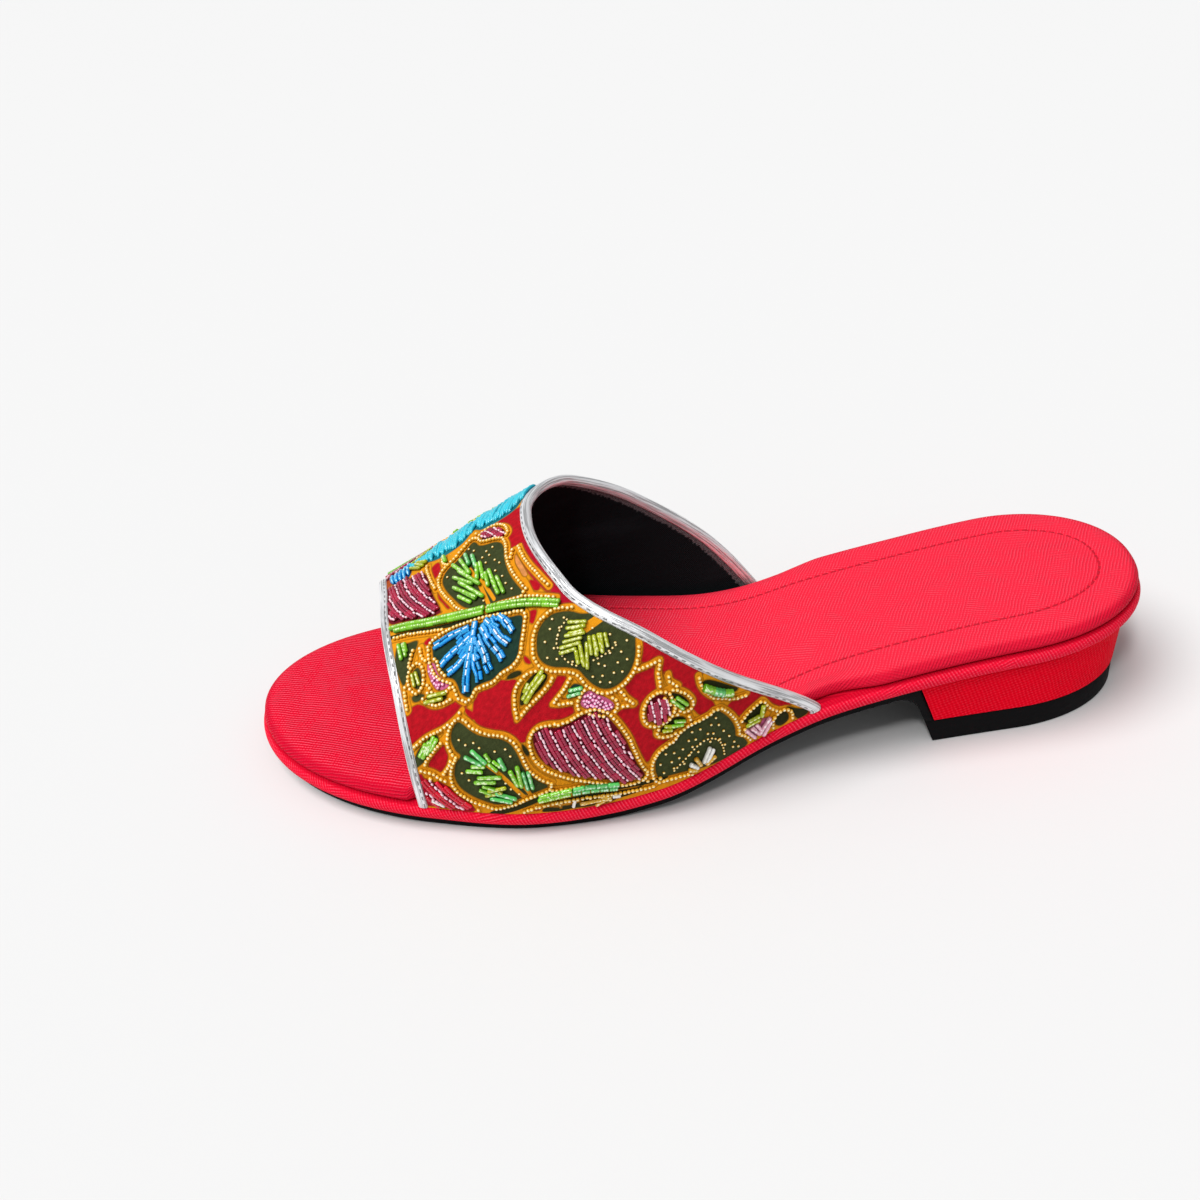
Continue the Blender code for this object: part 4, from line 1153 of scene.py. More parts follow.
class SLIDE_OT_rubber(bpy.types.Operator):
    """Outsole with its breast flap, and the top lift"""

    bl_idname = "slide.rubber"
    bl_label = "Rubber outsole and lift"

    def execute(self, context):
        rubber = settings().rubber
        finish = black_rubber("sole_rubber", rubber, scale=1400.0)
        add_piece("outsole_rubber", outsole_sheet(), finish, "outsole", RUBBER_CORNER)
        finish = black_rubber("lift_rubber", rubber, scale=900.0)
        add_piece("heel_lift", lift_slab(), finish, "top_lift", RUBBER_CORNER)
        return {"FINISHED"}


def rim_wrap():
    """The outline with a fully rounded edge, and the cover's place on it as run and turn."""
    radius = RIM_THICKNESS / 2
    turn = np.linspace(-np.pi / 2, np.pi / 2, 25)
    rings, cover, fold = [], [], []
    run, once = ring_lengths(RIM)
    for angle in turn:
        # The fold value paints shade on the rim's top by the pad and on its underside
        fold.append(np.full(len(run), 0.5 * ease(angle, 0.7, 1.1) + 0.8 * ease(-angle, 0.75, 1.2)))
        flat = RIM + INWARD * radius * (1 - np.cos(angle))
        rings.append(np.column_stack([flat, rim_top(flat[:, 0]) - radius * (1 - np.sin(angle))]))
        cover.append(np.column_stack([run, np.full(len(run), radius * angle)]))
    return ring_solid(rings, across_cap), np.vstack(cover), np.concatenate(fold), once


def heel_wrap():
    """The heel outline from the lift up to the rim, drawing in towards the lift.

    The cover's place is the run either way from the middle of the back, and the height.
    """
    foot = LIFT_THICKNESS + GAP
    top_front, foot_front = heel_top_front(), heel_front(foot)
    rings, cover, fold = [], [], []
    for part in np.linspace(0.0, 1.0, 25):
        front = foot_front + (top_front - foot_front) * part
        inset = HEEL_FOOT_INSET + (HEEL_TOP_INSET - HEEL_FOOT_INSET) * part
        ring = heel_ring(front, inset, lambda x: foot + (under_rim(x) - foot) * part)
        rings.append(ring)
        run, once = ring_lengths(ring[:, :2])
        cover.append(np.column_stack([np.where(run > once / 2, run - once, run), ring[:, 2]]))
        # The fold value paints shade on the heel's top, under the rim's overhang
        fold.append(np.full(len(run), ease(part, 0.84, 1.0)))
    return ring_solid(rings, heel_cap), np.vstack(cover), np.concatenate(fold)


class SLIDE_OT_covers(bpy.types.Operator):
    """Leathercloth wraps of the rim and of the heel block"""

    bl_idname = "slide.covers"
    bl_label = "Wrapped rim and heel"

    def execute(self, context):
        pitch = settings().rib_pitch
        solid, cover, fold, once = rim_wrap()
        finish = leathercloth("rim_leathercloth", settings().rim_cover, pitch, gloss_and_painted_highlight=0.06)
        rim = add_piece("rim_wrap", solid, finish, "midsole")
        add_uv(rim, "cover", cover, once)
        # The fold value is painted shade that the leathercloth reads
        add_values(rim, "fold", fold)
        solid, cover, fold = heel_wrap()
        red = settings().heel_cover
        finish = leathercloth("heel_leathercloth", red, pitch * HEEL_RIBS, gloss_and_painted_highlight=0.02, cross=0.9)
        heel = add_piece("heel_wrap", solid, finish, "heel", HEEL_CORNER)
        add_uv(heel, "cover", cover)
        # The fold value is painted shade that the leathercloth reads
        add_values(heel, "fold", fold)
        return {"FINISHED"}


def pad_tuck():
    """How far the pad's edge is drawn in round the outline: 1 where the vamp passes outside it."""
    foot = np.where(RIM[:, 1] > 0, 0.0, 180.0)
    behind = (back_edge(foot) - TUCK_MARGIN - RIM[:, 0]) / TUCK_EASE
    before = (RIM[:, 0] - front_edge(foot) - TUCK_FRONT_MARGIN) / TUCK_FRONT_EASE
    return ease(1 - np.maximum(behind, before), 0.0, 1.0)


def pad_ring(inset, level):
    """The outline drawn in by an inset and lifted over the rim, higher inside the arch."""
    flat = RIM + INWARD * np.broadcast_to(inset, len(RIM))[:, None]
    swell = ARCH_RISE * np.exp(-(((flat[:, 0] - ARCH_PLACE) / ARCH_REACH) ** 2))
    rise = np.where(RIM[:, 1] < 0, swell, 0.0) * level / PAD_EDGE["height"][-1]
    return np.column_stack([flat, rim_top(flat[:, 0]) + level + rise])


def seam_depth(x):
    """The stitched line dies out under the vamp."""
    return SEAM_DEPTH * ease(SEAM_END - x, 0.0, SEAM_EASE)


def insole_pad():
    """Rings from the pad's foot over its rolled edge, across the stitched line and in to the middle.

    The cover's place is the pad's plan with the rolled edge laid out flat.
    """
    tuck = pad_tuck()
    edge = PAD_OPEN_INSET + (PAD_TUCKED_INSET - PAD_OPEN_INSET) * tuck
    draw = 1 + (TUCK_ROLL - 1) * tuck
    steps = np.linspace(0.0, PAD_EDGE["step"][-1], 25)
    inset, height = pad_edge_inset(steps), pad_edge_height(steps)
    start, top = edge + inset[-1] * draw, height[-1]
    laid = run_along(np.stack([inset, height], -1))
    rings, cover, fold, groove = [], [], [], []
    for depth, level, away in zip(inset, height, laid[-1] - laid):
        # Painted shade on the pad's rolled side, darkest at its foot, carried as the fold value
        shadow = 0.65 - 0.35 * ease(level, 0.6, 1.6) - 0.3 * ease(level, 3.3, 4.55)
        fold.append(np.full(len(RIM), shadow))
        rings.append(pad_ring(edge + depth * draw, level))
        cover.append(RIM + INWARD * (start - away)[:, None])
    for part in np.linspace(0.0, 1.0, 7)[1:]:
        rings.append(pad_ring(start + (SEAM_INSET - 2 * SEAM_WIDTH - start) * part, top))
        cover.append(rings[-1][:, :2])
    for offset in np.linspace(-2.0, 2.4, 19)[1:]:
        ring = pad_ring(SEAM_INSET + offset * SEAM_WIDTH, top)
        trough = np.exp(-SEAM_SHARPNESS * offset**2)
        ring[:, 2] -= trough * seam_depth(ring[:, 0])
        groove.append((len(rings), trough))
        rings.append(ring)
        cover.append(ring[:, :2])
    border = rings[-1]
    middle = (border + border[-np.arange(len(border))]) / 2
    for part in np.linspace(0.0, 0.94, 12)[1:]:
        ring = border + (middle - border) * part
        away = np.linalg.norm((ring - border)[:, :2], axis=1)
        ring[:, 2] += PAD_CROWN * ease(away, 0.0, CROWN_REACH)
        rings.append(ring)
        cover.append(ring[:, :2])
    fold += [np.zeros(len(RIM))] * (len(rings) - len(fold))
    # Painted shade in the stitched groove, carried as the fold value
    for ring, trough in groove:
        fold[ring] = SEAM_SHADE * trough * seam_depth(rings[ring][:, 0]) / SEAM_DEPTH
    return ring_solid(rings, across_cap), np.vstack(cover), np.concatenate(fold)


def seam_stitches(pitch):
    """Short threads that lie in the stitched line, end to end with a needle hole between them."""
    line = pad_ring(SEAM_INSET, PAD_EDGE["height"][-1])
    line[:, 2] -= seam_depth(line[:, 0]) - 0.05
    path = np.vstack([line[STATIONS:], line[: STATIONS + 1]])
    path = path[path[:, 0] < SEAM_END - SEAM_EASE]
    run = run_along(path)
    middle = np.arange(pitch, run[-1] - pitch, pitch)
    along = unit(along_path(path, run, middle + 0.4) - along_path(path, run, middle - 0.4))
    up = np.broadcast_to([0.0, 0.0, 1.0], along.shape)
    spots = along_path(path, run, middle)
    return turned_beads(spots, along, up, pitch * THREAD_SHARE, THREAD_WIDTH, THREAD_SHAPE, SMALL_SIDES)


class SLIDE_OT_insole(bpy.types.Operator):
    """Padded insole with its rolled edge and stitched line"""

    bl_idname = "slide.insole"
    bl_label = "Padded insole"

    def execute(self, context):
        red = settings().cover
        solid, cover, fold = insole_pad()
        finish = leathercloth("insole_leathercloth", red, settings().rib_pitch, gloss_and_painted_highlight=0.1, toe=TOE_LINE)
        pad = add_piece("insole_pad", solid, finish, "insole")
        add_uv(pad, "cover", cover)
        # The fold value is painted shade that the leathercloth reads
        add_values(pad, "fold", fold)
        thread = Finish("insole_thread", Roughness=0.7, Specular_IOR_Level=0.05)
        twist = thread.noise(thread.stretched(thread.place(), (1.0, 1.0, 3.0)), 2600.0)
        thread.set(Base_Color=thread.mix(twist, shade(red, 0.42), shade(red, 0.66)))
        thread.bump(twist, 0.0001)
        solid = seam_stitches(settings().stitch_pitch)
        add_piece("insole_stitching", solid, thread.material)
        return {"FINISHED"}


def turns(sides):
    """Equal turns once round."""
    return 2 * np.pi * np.arange(sides) / sides


def spokes(across, rise, sides):
    """Directions once round each place, from across it to straight up and on."""
    turn = turns(sides)[:, None]
    return across[:, None] * np.cos(turn) + rise[:, None] * np.sin(turn)


def turned_beads(middle, along, normal, length, width, shape, sides):
    """Many turned shapes: a profile spun round each bead's own axis, as one set of points and faces."""
    count, rows = len(middle), len(shape)
    if count == 0:
        raise ValueError("a row of beads came out empty")
    across = unit(np.cross(normal, along))
    spoke = spokes(across, np.cross(along, across), sides)
    length = np.broadcast_to(length, count)[:, None, None, None]
    half = np.broadcast_to(width, count)[:, None, None, None] / 2
    points = middle[:, None, None] + along[:, None, None] * length * shape[:, 0][:, None, None]
    points = points + spoke[:, None] * half * shape[:, 1][:, None, None]
    start = (np.arange(count) * rows * sides)[:, None, None]
    quads = start + np.array(ring_faces(rows, sides))
    ends = start + np.array(whole_cap(sides, 0) + whole_cap(sides, (rows - 1) * sides))
    return points.reshape(-1, 3), quads.reshape(-1, 4).tolist() + ends.reshape(-1, sides).tolist()


def vamp_sheet(over, along, outer, inner):
    """A wall between two depths, from foot to foot and edge to edge, and its place in the chart."""
    angle, drop = foot_to_foot(over)
    part = np.linspace(0.0, 1.0, along)
    x = front_edge(angle)[:, None] * (1 - part) + back_edge(angle)[:, None] * part
    angles = np.broadcast_to(angle[:, None], x.shape)
    faces = []
    for depth in (outer, inner):
        wall = wall_point(angles, x, np.full(x.shape, depth))
        wall[..., 2] -= drop[:, None]
        faces.append(wall)
    rings = np.concatenate([faces[0], faces[1][:, ::-1]], axis=1)
    girth = VAMP.girth_at(angles, x) + drop[:, None] * np.where(angles < 90, 1.0, -1.0)
    chart = np.stack([x, girth], -1)
    chart = np.concatenate([chart, chart[:, ::-1]], axis=1)
    return ring_solid(rings, legs_cap), chart.reshape(-1, 2)


def print_layer(chart, shapes):
    """Colour of the nearest shape at each place, and how far inside its outline the place lies."""
    colour = np.zeros((len(chart), 3))
    depth = np.full(len(chart), -9.0)
    for fill, distance, outline in shapes:
        low, high = outline.min(0) - 4.0, outline.max(0) + 4.0
        near = np.flatnonzero(((chart > low) & (chart < high)).all(1))
        if len(near) == 0:
            continue
        inside = distance(chart[near], outline)
        better = inside > depth[near]
        depth[near[better]] = inside[better]
        colour[near[better]] = getattr(settings(), fill)
    return colour, depth


def print_layers(chart):
    """Red fields, the orange bands under the bead rows, the other patches, and the lines over them."""
    fields, patches, lines = [], [], []
    for name, fill, _, outline in PATCHES:
        growth = FIELD_GROWTH if name.endswith(("_field", "_strip")) else 0.0
        for path in both_sides(outline):
            inside = lambda at, loop, extra=growth: signed_distance(at, loop) + extra
            shape = (fill, inside, smooth_path(path, closed=True))
            (fields if fill in ("red", "crimson") else patches).append(shape)
    band = lambda at, line: BAND_WIDTH / 2 - path_distance(at, line)
    bands = [("orange", band, path) for path in bead_paths()]
    for fill, width, points in LINES:
        for path in both_sides(points):
            inside = lambda at, line, half=width / 2: half - path_distance(at, line)
            lines.append((fill, inside, smooth_path(path)))
    return [print_layer(chart, shapes) for shapes in (fields, bands, patches, lines)]


def printed_cloth():
    """Printed cloth: patches with soft painted edges on an orange ground, over a fine weave."""
    finish = Finish("printed_cloth", Specular_IOR_Level=0.1)
    cover = finish.uv("cover")
    stain = finish.noise(cover, 0.35, 3.0)
    ground = finish.mix(stain.between(0.3, 0.7), shade(settings().orange, 0.86), settings().orange)
    dark = shade(settings().orange, 0.3)
    mottle = finish.noise(cover, 0.8, 3.0).between(0.3, 0.75)
    colour = ground
    for layer in ("field", "band", "patch"):
        depth = finish.attribute(layer + "_depth")
        colour = finish.mix(depth.between(-0.42, -0.12) * 0.7, colour, dark)
        fill = ground
        if layer != "band":
            fill = finish.attribute(layer + "_colour", "Color")
            fill = finish.mix(mottle, finish.stretched(fill, (0.72, 0.72, 0.72)), fill)
        colour = finish.mix(depth.between(-0.12, 0.14), colour, fill)
    patch = finish.attribute("patch_depth")
    line = finish.attribute("line_depth")
    colour = finish.mix(line.between(-0.1, 0.14), colour, finish.attribute("line_colour", "Color"))
    along, across, _ = finish.parts(cover)
    weave = (along * WEAVE).math("SINE") * (across * WEAVE).math("SINE")
    finish.set(Base_Color=colour, Roughness=0.78 - weave * 0.05)
    finish.bump(weave * 0.15 + patch.between(-1.4, 1.0) * 0.8 + stain * 0.3, 0.0003)
    return finish.material


def black_lining():
    """Black cloth: a fine slanting weave with a little lint, soft fold ridges with a painted highlight,
    frayed grey at the back binding.
    """
    finish = Finish("black_lining", Roughness=0.9, Specular_IOR_Level=0.08)
    cover = finish.uv("cover")
    along, across, _ = finish.parts(cover)
    twill = ((along + across) * TWILL).math("SINE") * 0.5 + 0.5
    lint = finish.noise(cover, 1.6, 3.0).between(0.62, 0.8)
    black = settings().lining
    tone = finish.mix(twill, shade(black, 0.55), shade(black, 1.6))
    tone = finish.mix(lint * 0.4, tone, shade(black, 3.0))
    # Soft fold ridges in the relief, lighter in colour as a painted highlight
    folds_and_painted_highlight = finish.noise(finish.stretched(cover, (0.02, 0.08, 1.0)), 1.0, 3.0)
    tone = finish.mix(folds_and_painted_highlight.between(0.52, 0.7), tone, shade(black, 1.9))
    fray = finish.attribute("edge_distance") + finish.noise(cover, 0.9, 4.0) * 2.4 - 1.2
    threads = finish.noise(cover, 2.4, 2.0).between(0.25, 0.6)
    raw = (1 - fray.between(RAW_EDGE, RAW_EDGE + 0.5)) * threads
    finish.set(Base_Color=finish.mix(raw, tone, (0.16, 0.16, 0.165)))
    finish.bump(twill * 0.1 + folds_and_painted_highlight, 0.0015)
    return finish.material


class SLIDE_OT_vamp(bpy.types.Operator):
    """Printed cloth of the vamp and its black lining"""

    bl_idname = "slide.vamp"
    bl_label = "Vamp cloth and lining"

    def execute(self, context):
        solid, chart = vamp_sheet(*CLOTH_GRID, 0.0, CLOTH_THICKNESS)
        cloth = add_piece("vamp_cloth", solid, printed_cloth(), "upper", CLOTH_CORNER)
        add_uv(cloth, "cover", chart)
        for name, (colour, depth) in zip(("field", "band", "patch", "line"), print_layers(chart)):
            add_colours(cloth, name + "_colour", colour)
            add_values(cloth, name + "_depth", depth)
        solid, chart = vamp_sheet(*LINING_GRID, CLOTH_THICKNESS + 0.05, WALL)
        lining = add_piece("vamp_lining", solid, black_lining(), sharp=CLOTH_CORNER)
        add_values(lining, "edge_distance", path_distance(chart, VAMP.back) - BINDING_WIDTH)
        add_uv(lining, "cover", chart)
        return {"FINISHED"}


def binding_strip(edge, outward):
    """A folded profile carried along an edge, and the cover's place as run and distance across."""
    outside, inside = WALL / 2 + BINDING_THICKNESS, WALL / 2 + 0.05
    fold = np.linspace(np.pi / 2, -np.pi / 2, 13)
    leg = np.linspace(-BINDING_WIDTH, 0.0, 7)
    swell = 0.1 * np.sin(np.pi * (leg / BINDING_WIDTH + 1))
    top = np.stack([leg, outside - 0.3 * np.exp(-((leg + BINDING_WIDTH) / 0.3)) + swell], -1)
    bend = np.stack([BINDING_FOLD * np.cos(fold), outside * np.sin(fold)], -1)
    shell = np.vstack([top[:-1], bend, top[-2::-1] * [1, -1]])
    core = shell * [1.0, 0.0] + np.sign(shell) * [0.0, inside]
    core[:, 0] = np.minimum(core[:, 0], 0.05)
    profile = np.vstack([shell, core[::-1]])
    angle, drop = foot_to_foot(BINDING_STEPS)
    low, high = np.clip(angle - NUDGE, 0, 180), np.clip(angle + NUDGE, 0, 180)
    run = vamp_surface(high, edge(high)) - vamp_surface(low, edge(low))
    step = vamp_surface(angle, edge(angle) + NUDGE) - vamp_surface(angle, edge(angle) - NUDGE)
    slant = np.linalg.norm(np.cross(run, step), axis=-1) / np.linalg.norm(run, axis=-1) / (2 * NUDGE)
    x = edge(angle)[:, None] + outward * profile[:, 0] / slant[:, None]
    depth = np.broadcast_to(WALL / 2 - profile[:, 1], x.shape)
    rings = wall_point(np.broadcast_to(angle[:, None], x.shape), x, depth)
    rings[..., 2] -= drop[:, None]
    length = run_along(vamp_surface(angle, edge(angle)))
    spread = run_along(shell)
    spread = np.append(spread, spread[::-1])
    cover = np.stack(np.broadcast_arrays(length[:, None], spread), -1)
    return ring_solid(rings, legs_cap), cover.reshape(-1, 2)


def silver_foil(name):
    """Silver foil on thin leather: lengthwise creases with painted shade in them, puckers, and a row of
    stitches by the edge.
    """
    finish = Finish(name)
    cover = finish.uv("cover")
    run, spread, _ = finish.parts(cover)
    crease_and_painted_shade = finish.noise(finish.stretched(cover, (0.05, 1.7, 1.0)), 1.0, 2.0, 0.6).between(0.36, 0.52)
    pucker = finish.noise(finish.stretched(cover, (0.5, 1.4, 1.0)), 1.0, 3.0)
    beat = (run * (2 * np.pi / settings().stitch_pitch) + pucker * 2.0).math("SINE").between(-0.1, 0.3)
    line = 1 - (spread - 0.75).math("ABSOLUTE").between(0.08, 0.22)
    stitch = beat * line
    silver = settings().silver
    # Painted shade: the foil is a darker grey along the creases
    tone = finish.mix(crease_and_painted_shade, shade(silver, 0.5), silver)
    finish.set(
        Base_Color=finish.mix(stitch * 0.8, tone, (0.10, 0.095, 0.10)),
        Roughness=0.3 + pucker * 0.2,
        Metallic=0.4 - stitch * 0.4,
    )
    finish.bump(crease_and_painted_shade * 0.6 + pucker * 0.5 - stitch * 0.6, 0.0004)
    return finish.material


class SLIDE_OT_bindings(bpy.types.Operator):
    """Silver strips folded over the vamp's front and back edges"""

    bl_idname = "slide.bindings"
    bl_label = "Silver bindings"

    def execute(self, context):
        for name, edge, outward in (("front", front_edge, 1.0), ("back", back_edge, -1.0)):
            solid, cover = binding_strip(edge, outward)
            finish = silver_foil(name + "_foil")
            node = name + "_binding"
            strip = add_piece(name + "_edge_binding", solid, finish, node, FOIL_CORNER)
            add_uv(strip, "cover", cover)
        return {"FINISHED"}


def spaced(path, pitch):
    """Places at an equal pitch along a path of the chart, and the path's direction there on the cloth."""
    run = run_along(VAMP.at(path)[0])
    count = max(int(round(run[-1] / pitch)), 1)
    middle = (np.arange(count) + 0.5) * run[-1] / count
    reach = min(0.4, run[-1] / 4)
    ahead = VAMP.at(along_path(path, run, np.minimum(middle + reach, run[-1])))[0]
    behind = VAMP.at(along_path(path, run, np.maximum(middle - reach, 0)))[0]
    return along_path(path, run, middle), unit(ahead - behind)


def joined(rows):
    """Rows of places, directions and the like, each kind put end to end."""
    return [np.concatenate(part) for part in zip(*rows)]


def cleared(rows, room):
    """Rows of places and directions put end to end, without those too near a binding or a foot."""
    places, along = joined(rows)
    clear = VAMP.clear(places, *room)
    return places[clear], along[clear]


def outset(loop, distance):
    """A closed outline moved outward along its own normals."""
    along = unit(np.roll(loop, -1, 0) - np.roll(loop, 1, 0) + 1e-9)
    area = np.sum(loop[:, 0] * np.roll(loop[:, 1], -1) - np.roll(loop[:, 0], -1) * loop[:, 1])
    moved = loop + np.stack([along[:, 1], -along[:, 0]], -1) * distance * np.sign(area)
    kept = moved[signed_distance(moved, loop) < -0.9 * distance]
    return np.vstack([kept, kept[:1]])


def apart(rows, gap):
    """Rows of places with each place dropped that lies too near one that is already laid."""
    laid, kept = np.empty((0, 2)), []
    for places, along in rows:
        free = np.ones(len(places), bool)
        if len(laid):
            free = np.linalg.norm(places[:, None] - laid, axis=-1).min(1) > gap
        laid = np.vstack([laid, places[free]])
        kept.append((places[free], along[free]))
    return kept


def patch_paths(name):
    """A patch's outline on both sides of the shoe."""
    outline = next(row[3] for row in PATCHES if row[0] == name)
    return [smooth_path(path, closed=True) for path in both_sides(outline)]


def bead_paths():
    """Lines of the seed beads: just outside each beaded patch, and the rows that follow no patch."""
    for _, _, beaded, outline in PATCHES:
        for path in both_sides(outline) if beaded else ():
            yield outset(smooth_path(path, closed=True), 0.85 * settings().bead_width)
    for row in BEAD_ROWS:
        for path in both_sides(row):
            yield smooth_path(path)


def glass(name, colour, spread=0.25, gleam=0.45, cap=0.5, glints=1.3):
    """Coloured glass with painted light, each bead with its own tint.

    Painted shade darkens a bead where it turns down to the cloth; a painted pale top and painted white
    spots stand in for light on it. The spread is how far the tints differ. The painted pale tone is the
    colour raised to a power, so a lower gleam is paler; it starts at the cap's height. A higher number
    of glints makes the painted white ones rarer.
    """
    finish = Finish(name, Roughness=0.1, Specular_IOR_Level=0.5)
    tint, rise = finish.attribute("tint"), finish.attribute("rise")
    cloud = finish.noise(finish.place(), 1500.0, 2.0)
    tone = finish.mix(tint, shade(colour, 1 - spread), shade(colour, 1 + spread))
    # Painted shade low on each bead, a painted pale top where it rises, and painted white glints broken up
    # by the noise
    painted_shade_tone = tuple(0.55 * channel**1.4 for channel in colour)
    pale = tuple(channel**gleam for channel in colour)
    painted_glint = tuple(channel ** (gleam / 5) for channel in colour)
    top = finish.mix(rise.between(cap, cap + 0.4), tone, pale)
    top = finish.mix((rise + cloud * 0.8).between(glints, glints + 0.12), top, painted_glint)
    finish.set(Base_Color=finish.mix(rise.between(-0.4, 0.3), painted_shade_tone, top))
    return finish.material


def add_beads(name, places, along, length, width, shape, sides, finish, lift=0.42):
    """Beads at places of the chart, lying on the cloth, each with a tint of its own."""
    points, normals, _ = VAMP.at(places)
    flat = unit(along - normals * (along * normals).sum(-1, keepdims=True))
    raised = points + normals * np.broadcast_to(np.asarray(width) * lift, len(places))[:, None]
    solid = turned_beads(raised, flat, normals, length, width, shape, sides)
    piece = add_piece(name, solid, finish)
    tints = np.random.default_rng(SEED).random(len(places))
    add_values(piece, "tint", np.repeat(tints, len(shape) * sides))
    # The height round each bead, which the glass reads to paint shade below and light on top
    rise = shape[:, 1][:, None] * np.sin(turns(sides))
    add_values(piece, "rise", np.tile(rise.ravel(), len(places)))


def leaf_dots(pitch):
    """Tiny beads on a slanted lattice inside each olive leaf, clear of its edge and of its bugles."""
    rng = np.random.default_rng(SEED)
    spots = []
    bugles = np.array([row[1:] for rows in BUGLES.values() for row in rows]).reshape(-1, 2, 2)
    column, row = np.meshgrid(np.arange(-40, 40), np.arange(-40, 40))
    grid = np.stack([column + 0.5 * row, 0.87 * row - 0.2 * column], -1).reshape(-1, 2) * pitch
    for name in DOT_LEAVES:
        for path, bars in zip(patch_paths(name), (bugles, mirrored(bugles))):
            low, high = path.min(0), path.max(0)
            lattice = grid + (low + high) / 2 + rng.normal(0.0, DOT_SCATTER, grid.shape)
            lattice = lattice[((lattice > low) & (lattice < high)).all(1)]
            lattice = lattice[signed_distance(lattice, path) > DOT_FROM_EDGE]
            for bar in bars:
                lattice = lattice[path_distance(lattice, bar) > DOT_FROM_BUGLE]
            spots.append(lattice)
    spots = np.concatenate(spots)
    return spots[VAMP.clear(spots, *DOT_ROOM)]


class SLIDE_OT_seed_beads(bpy.types.Operator):
    """Rows of cream seed beads round the patches and along the stems, and tiny beads in the leaves"""

    bl_idname = "slide.seed_beads"
    bl_label = "Seed beads"

    def execute(self, context):
        width, pitch = settings().bead_width, settings().bead_pitch
        cream = glass("cream_glass", settings().cream, spread=0.22, gleam=0.28, cap=0.58)
        rows = apart([spaced(path, pitch) for path in bead_paths()], SEED_GAP * pitch)
        places, along = cleared(rows, SEED_ROOM)
        places = places + np.random.default_rng(SEED).normal(0.0, SEED_SCATTER, places.shape)
        add_beads("seed_beads", places, along, pitch * SEED_LENGTH, width, SEED_SHAPE, BEAD_SIDES, cream)
        dot = settings().dot_width
        spots = leaf_dots(settings().dot_pitch)
        arcs = [smooth_path(path) for row in DOT_ROWS for path in both_sides(row)]
        arc_spots, arc_along = cleared([spaced(arc, DOT_ARC_PITCH) for arc in arcs], SEED_ROOM)
        along = np.concatenate([np.tile([1.0, 0.0, 0.0], (len(spots), 1)), arc_along])
        width = np.repeat([dot, DOT_ARC_SHARE * dot], [len(spots), len(arc_spots)])
        places = np.concatenate([spots, arc_spots])
        cream = glass("dot_glass", settings().cream, spread=0.1, gleam=0.24, cap=0.3)
        add_beads("leaf_dots", places, along, width, width, SEED_SHAPE, SMALL_SIDES, cream)
        return {"FINISHED"}


def bugle_lanes(width, ends):
    """Bugles stretched a little; those of middling width lie in pairs, one ahead of the other."""
    rng = np.random.default_rng(SEED)
    middle, half = ends.mean(1), np.diff(ends, axis=1)[:, 0] / 2 * BUGLE_STRETCH
    across = unit(beside(half))
    paired = (width >= PAIR_WIDTHS[0]) & (width < PAIR_WIDTHS[1])
    widths = [width[~paired] * BUGLE_STRETCH]
    laid = [np.stack([middle - half, middle + half], 1)[~paired]]
    for lane in (-1.0, 1.0):
        turn = rng.normal(0.0, PAIR_UNEVEN, (len(half), 1))
        size = rng.normal(1.0, PAIR_UNEVEN, (len(half), 1))
        reach = half * size + across * np.linalg.norm(half, axis=1)[:, None] * turn
        spot = middle + across * (lane * PAIR_SPREAD * width)[:, None] + half * PAIR_SHIFT * lane
        laid.append(np.stack([spot - reach, spot + reach], 1)[paired])
        widths.append(width[paired] * PAIR_SHARE)
    return np.concatenate(widths), np.concatenate(laid)


class SLIDE_OT_bugles(bpy.types.Operator):
    """Bugle beads of leaves, buds and flowers, by the colour of their glass"""

    bl_idname = "slide.bugles"
    bl_label = "Bugle beads"

    def execute(self, context):
        for colour, rows in BUGLES.items():
            bars = np.array(rows)
            width, ends = bugle_lanes(bars[:, 0], bars[:, 1:].reshape(-1, 2, 2))
            width = np.concatenate([width, width])
            ends = np.concatenate([ends, mirrored(ends)])
            middle = ends.mean(1)
            clear = VAMP.clear(middle, *BUGLE_ROOM)
            ends, middle, width = ends[clear], middle[clear], width[clear]
            step = VAMP.at(ends[:, 1])[0] - VAMP.at(ends[:, 0])[0]
            length = np.linalg.norm(step, axis=1)
            along = step / length[:, None]
            finish = glass(colour, getattr(settings(), colour), spread=0.5, gleam=BUGLE_GLEAM, glints=1.24)
            name = "bugles_" + colour
            add_beads(name, middle, along, length, width, BUGLE_SHAPE, BEAD_SIDES, finish, lift=0.45)
        return {"FINISHED"}


def strand(path, width, steps, bulge, rng):
    """A lumpy strand along a path of the chart, as rings round it: blunt at its ends and arched up."""
    part = np.linspace(0.0, 1.0, steps)
    points, normals, _ = VAMP.at(along_path(path, np.linspace(0.0, 1.0, len(path)), part))
    along = unit(np.gradient(points, axis=0))
    across = unit(np.cross(normals, along))
    swell = np.clip(1 - np.abs(2 * part - 1) ** 8, 0.15, 1.0) ** 0.5 * (1 + 0.1 * rng.normal(size=steps))
    spoke = spokes(across, normals, STRAND_SIDES)
    lift = width * 0.2 * swell + bulge * np.sin(np.pi * part) ** 0.6
    return (points + normals * lift[:, None])[:, None] + spoke * (width / 2 * swell)[:, None, None]


def join_strands(strands):
    """Several strands as one set of points and faces."""
    points, faces, start = [], [], 0
    for rings in strands:
        part, quads = ring_solid(rings, whole_cap)
        points.append(part)
        faces += [[start + k for k in quad] for quad in quads]
        start += len(part)
    return np.vstack(points), faces


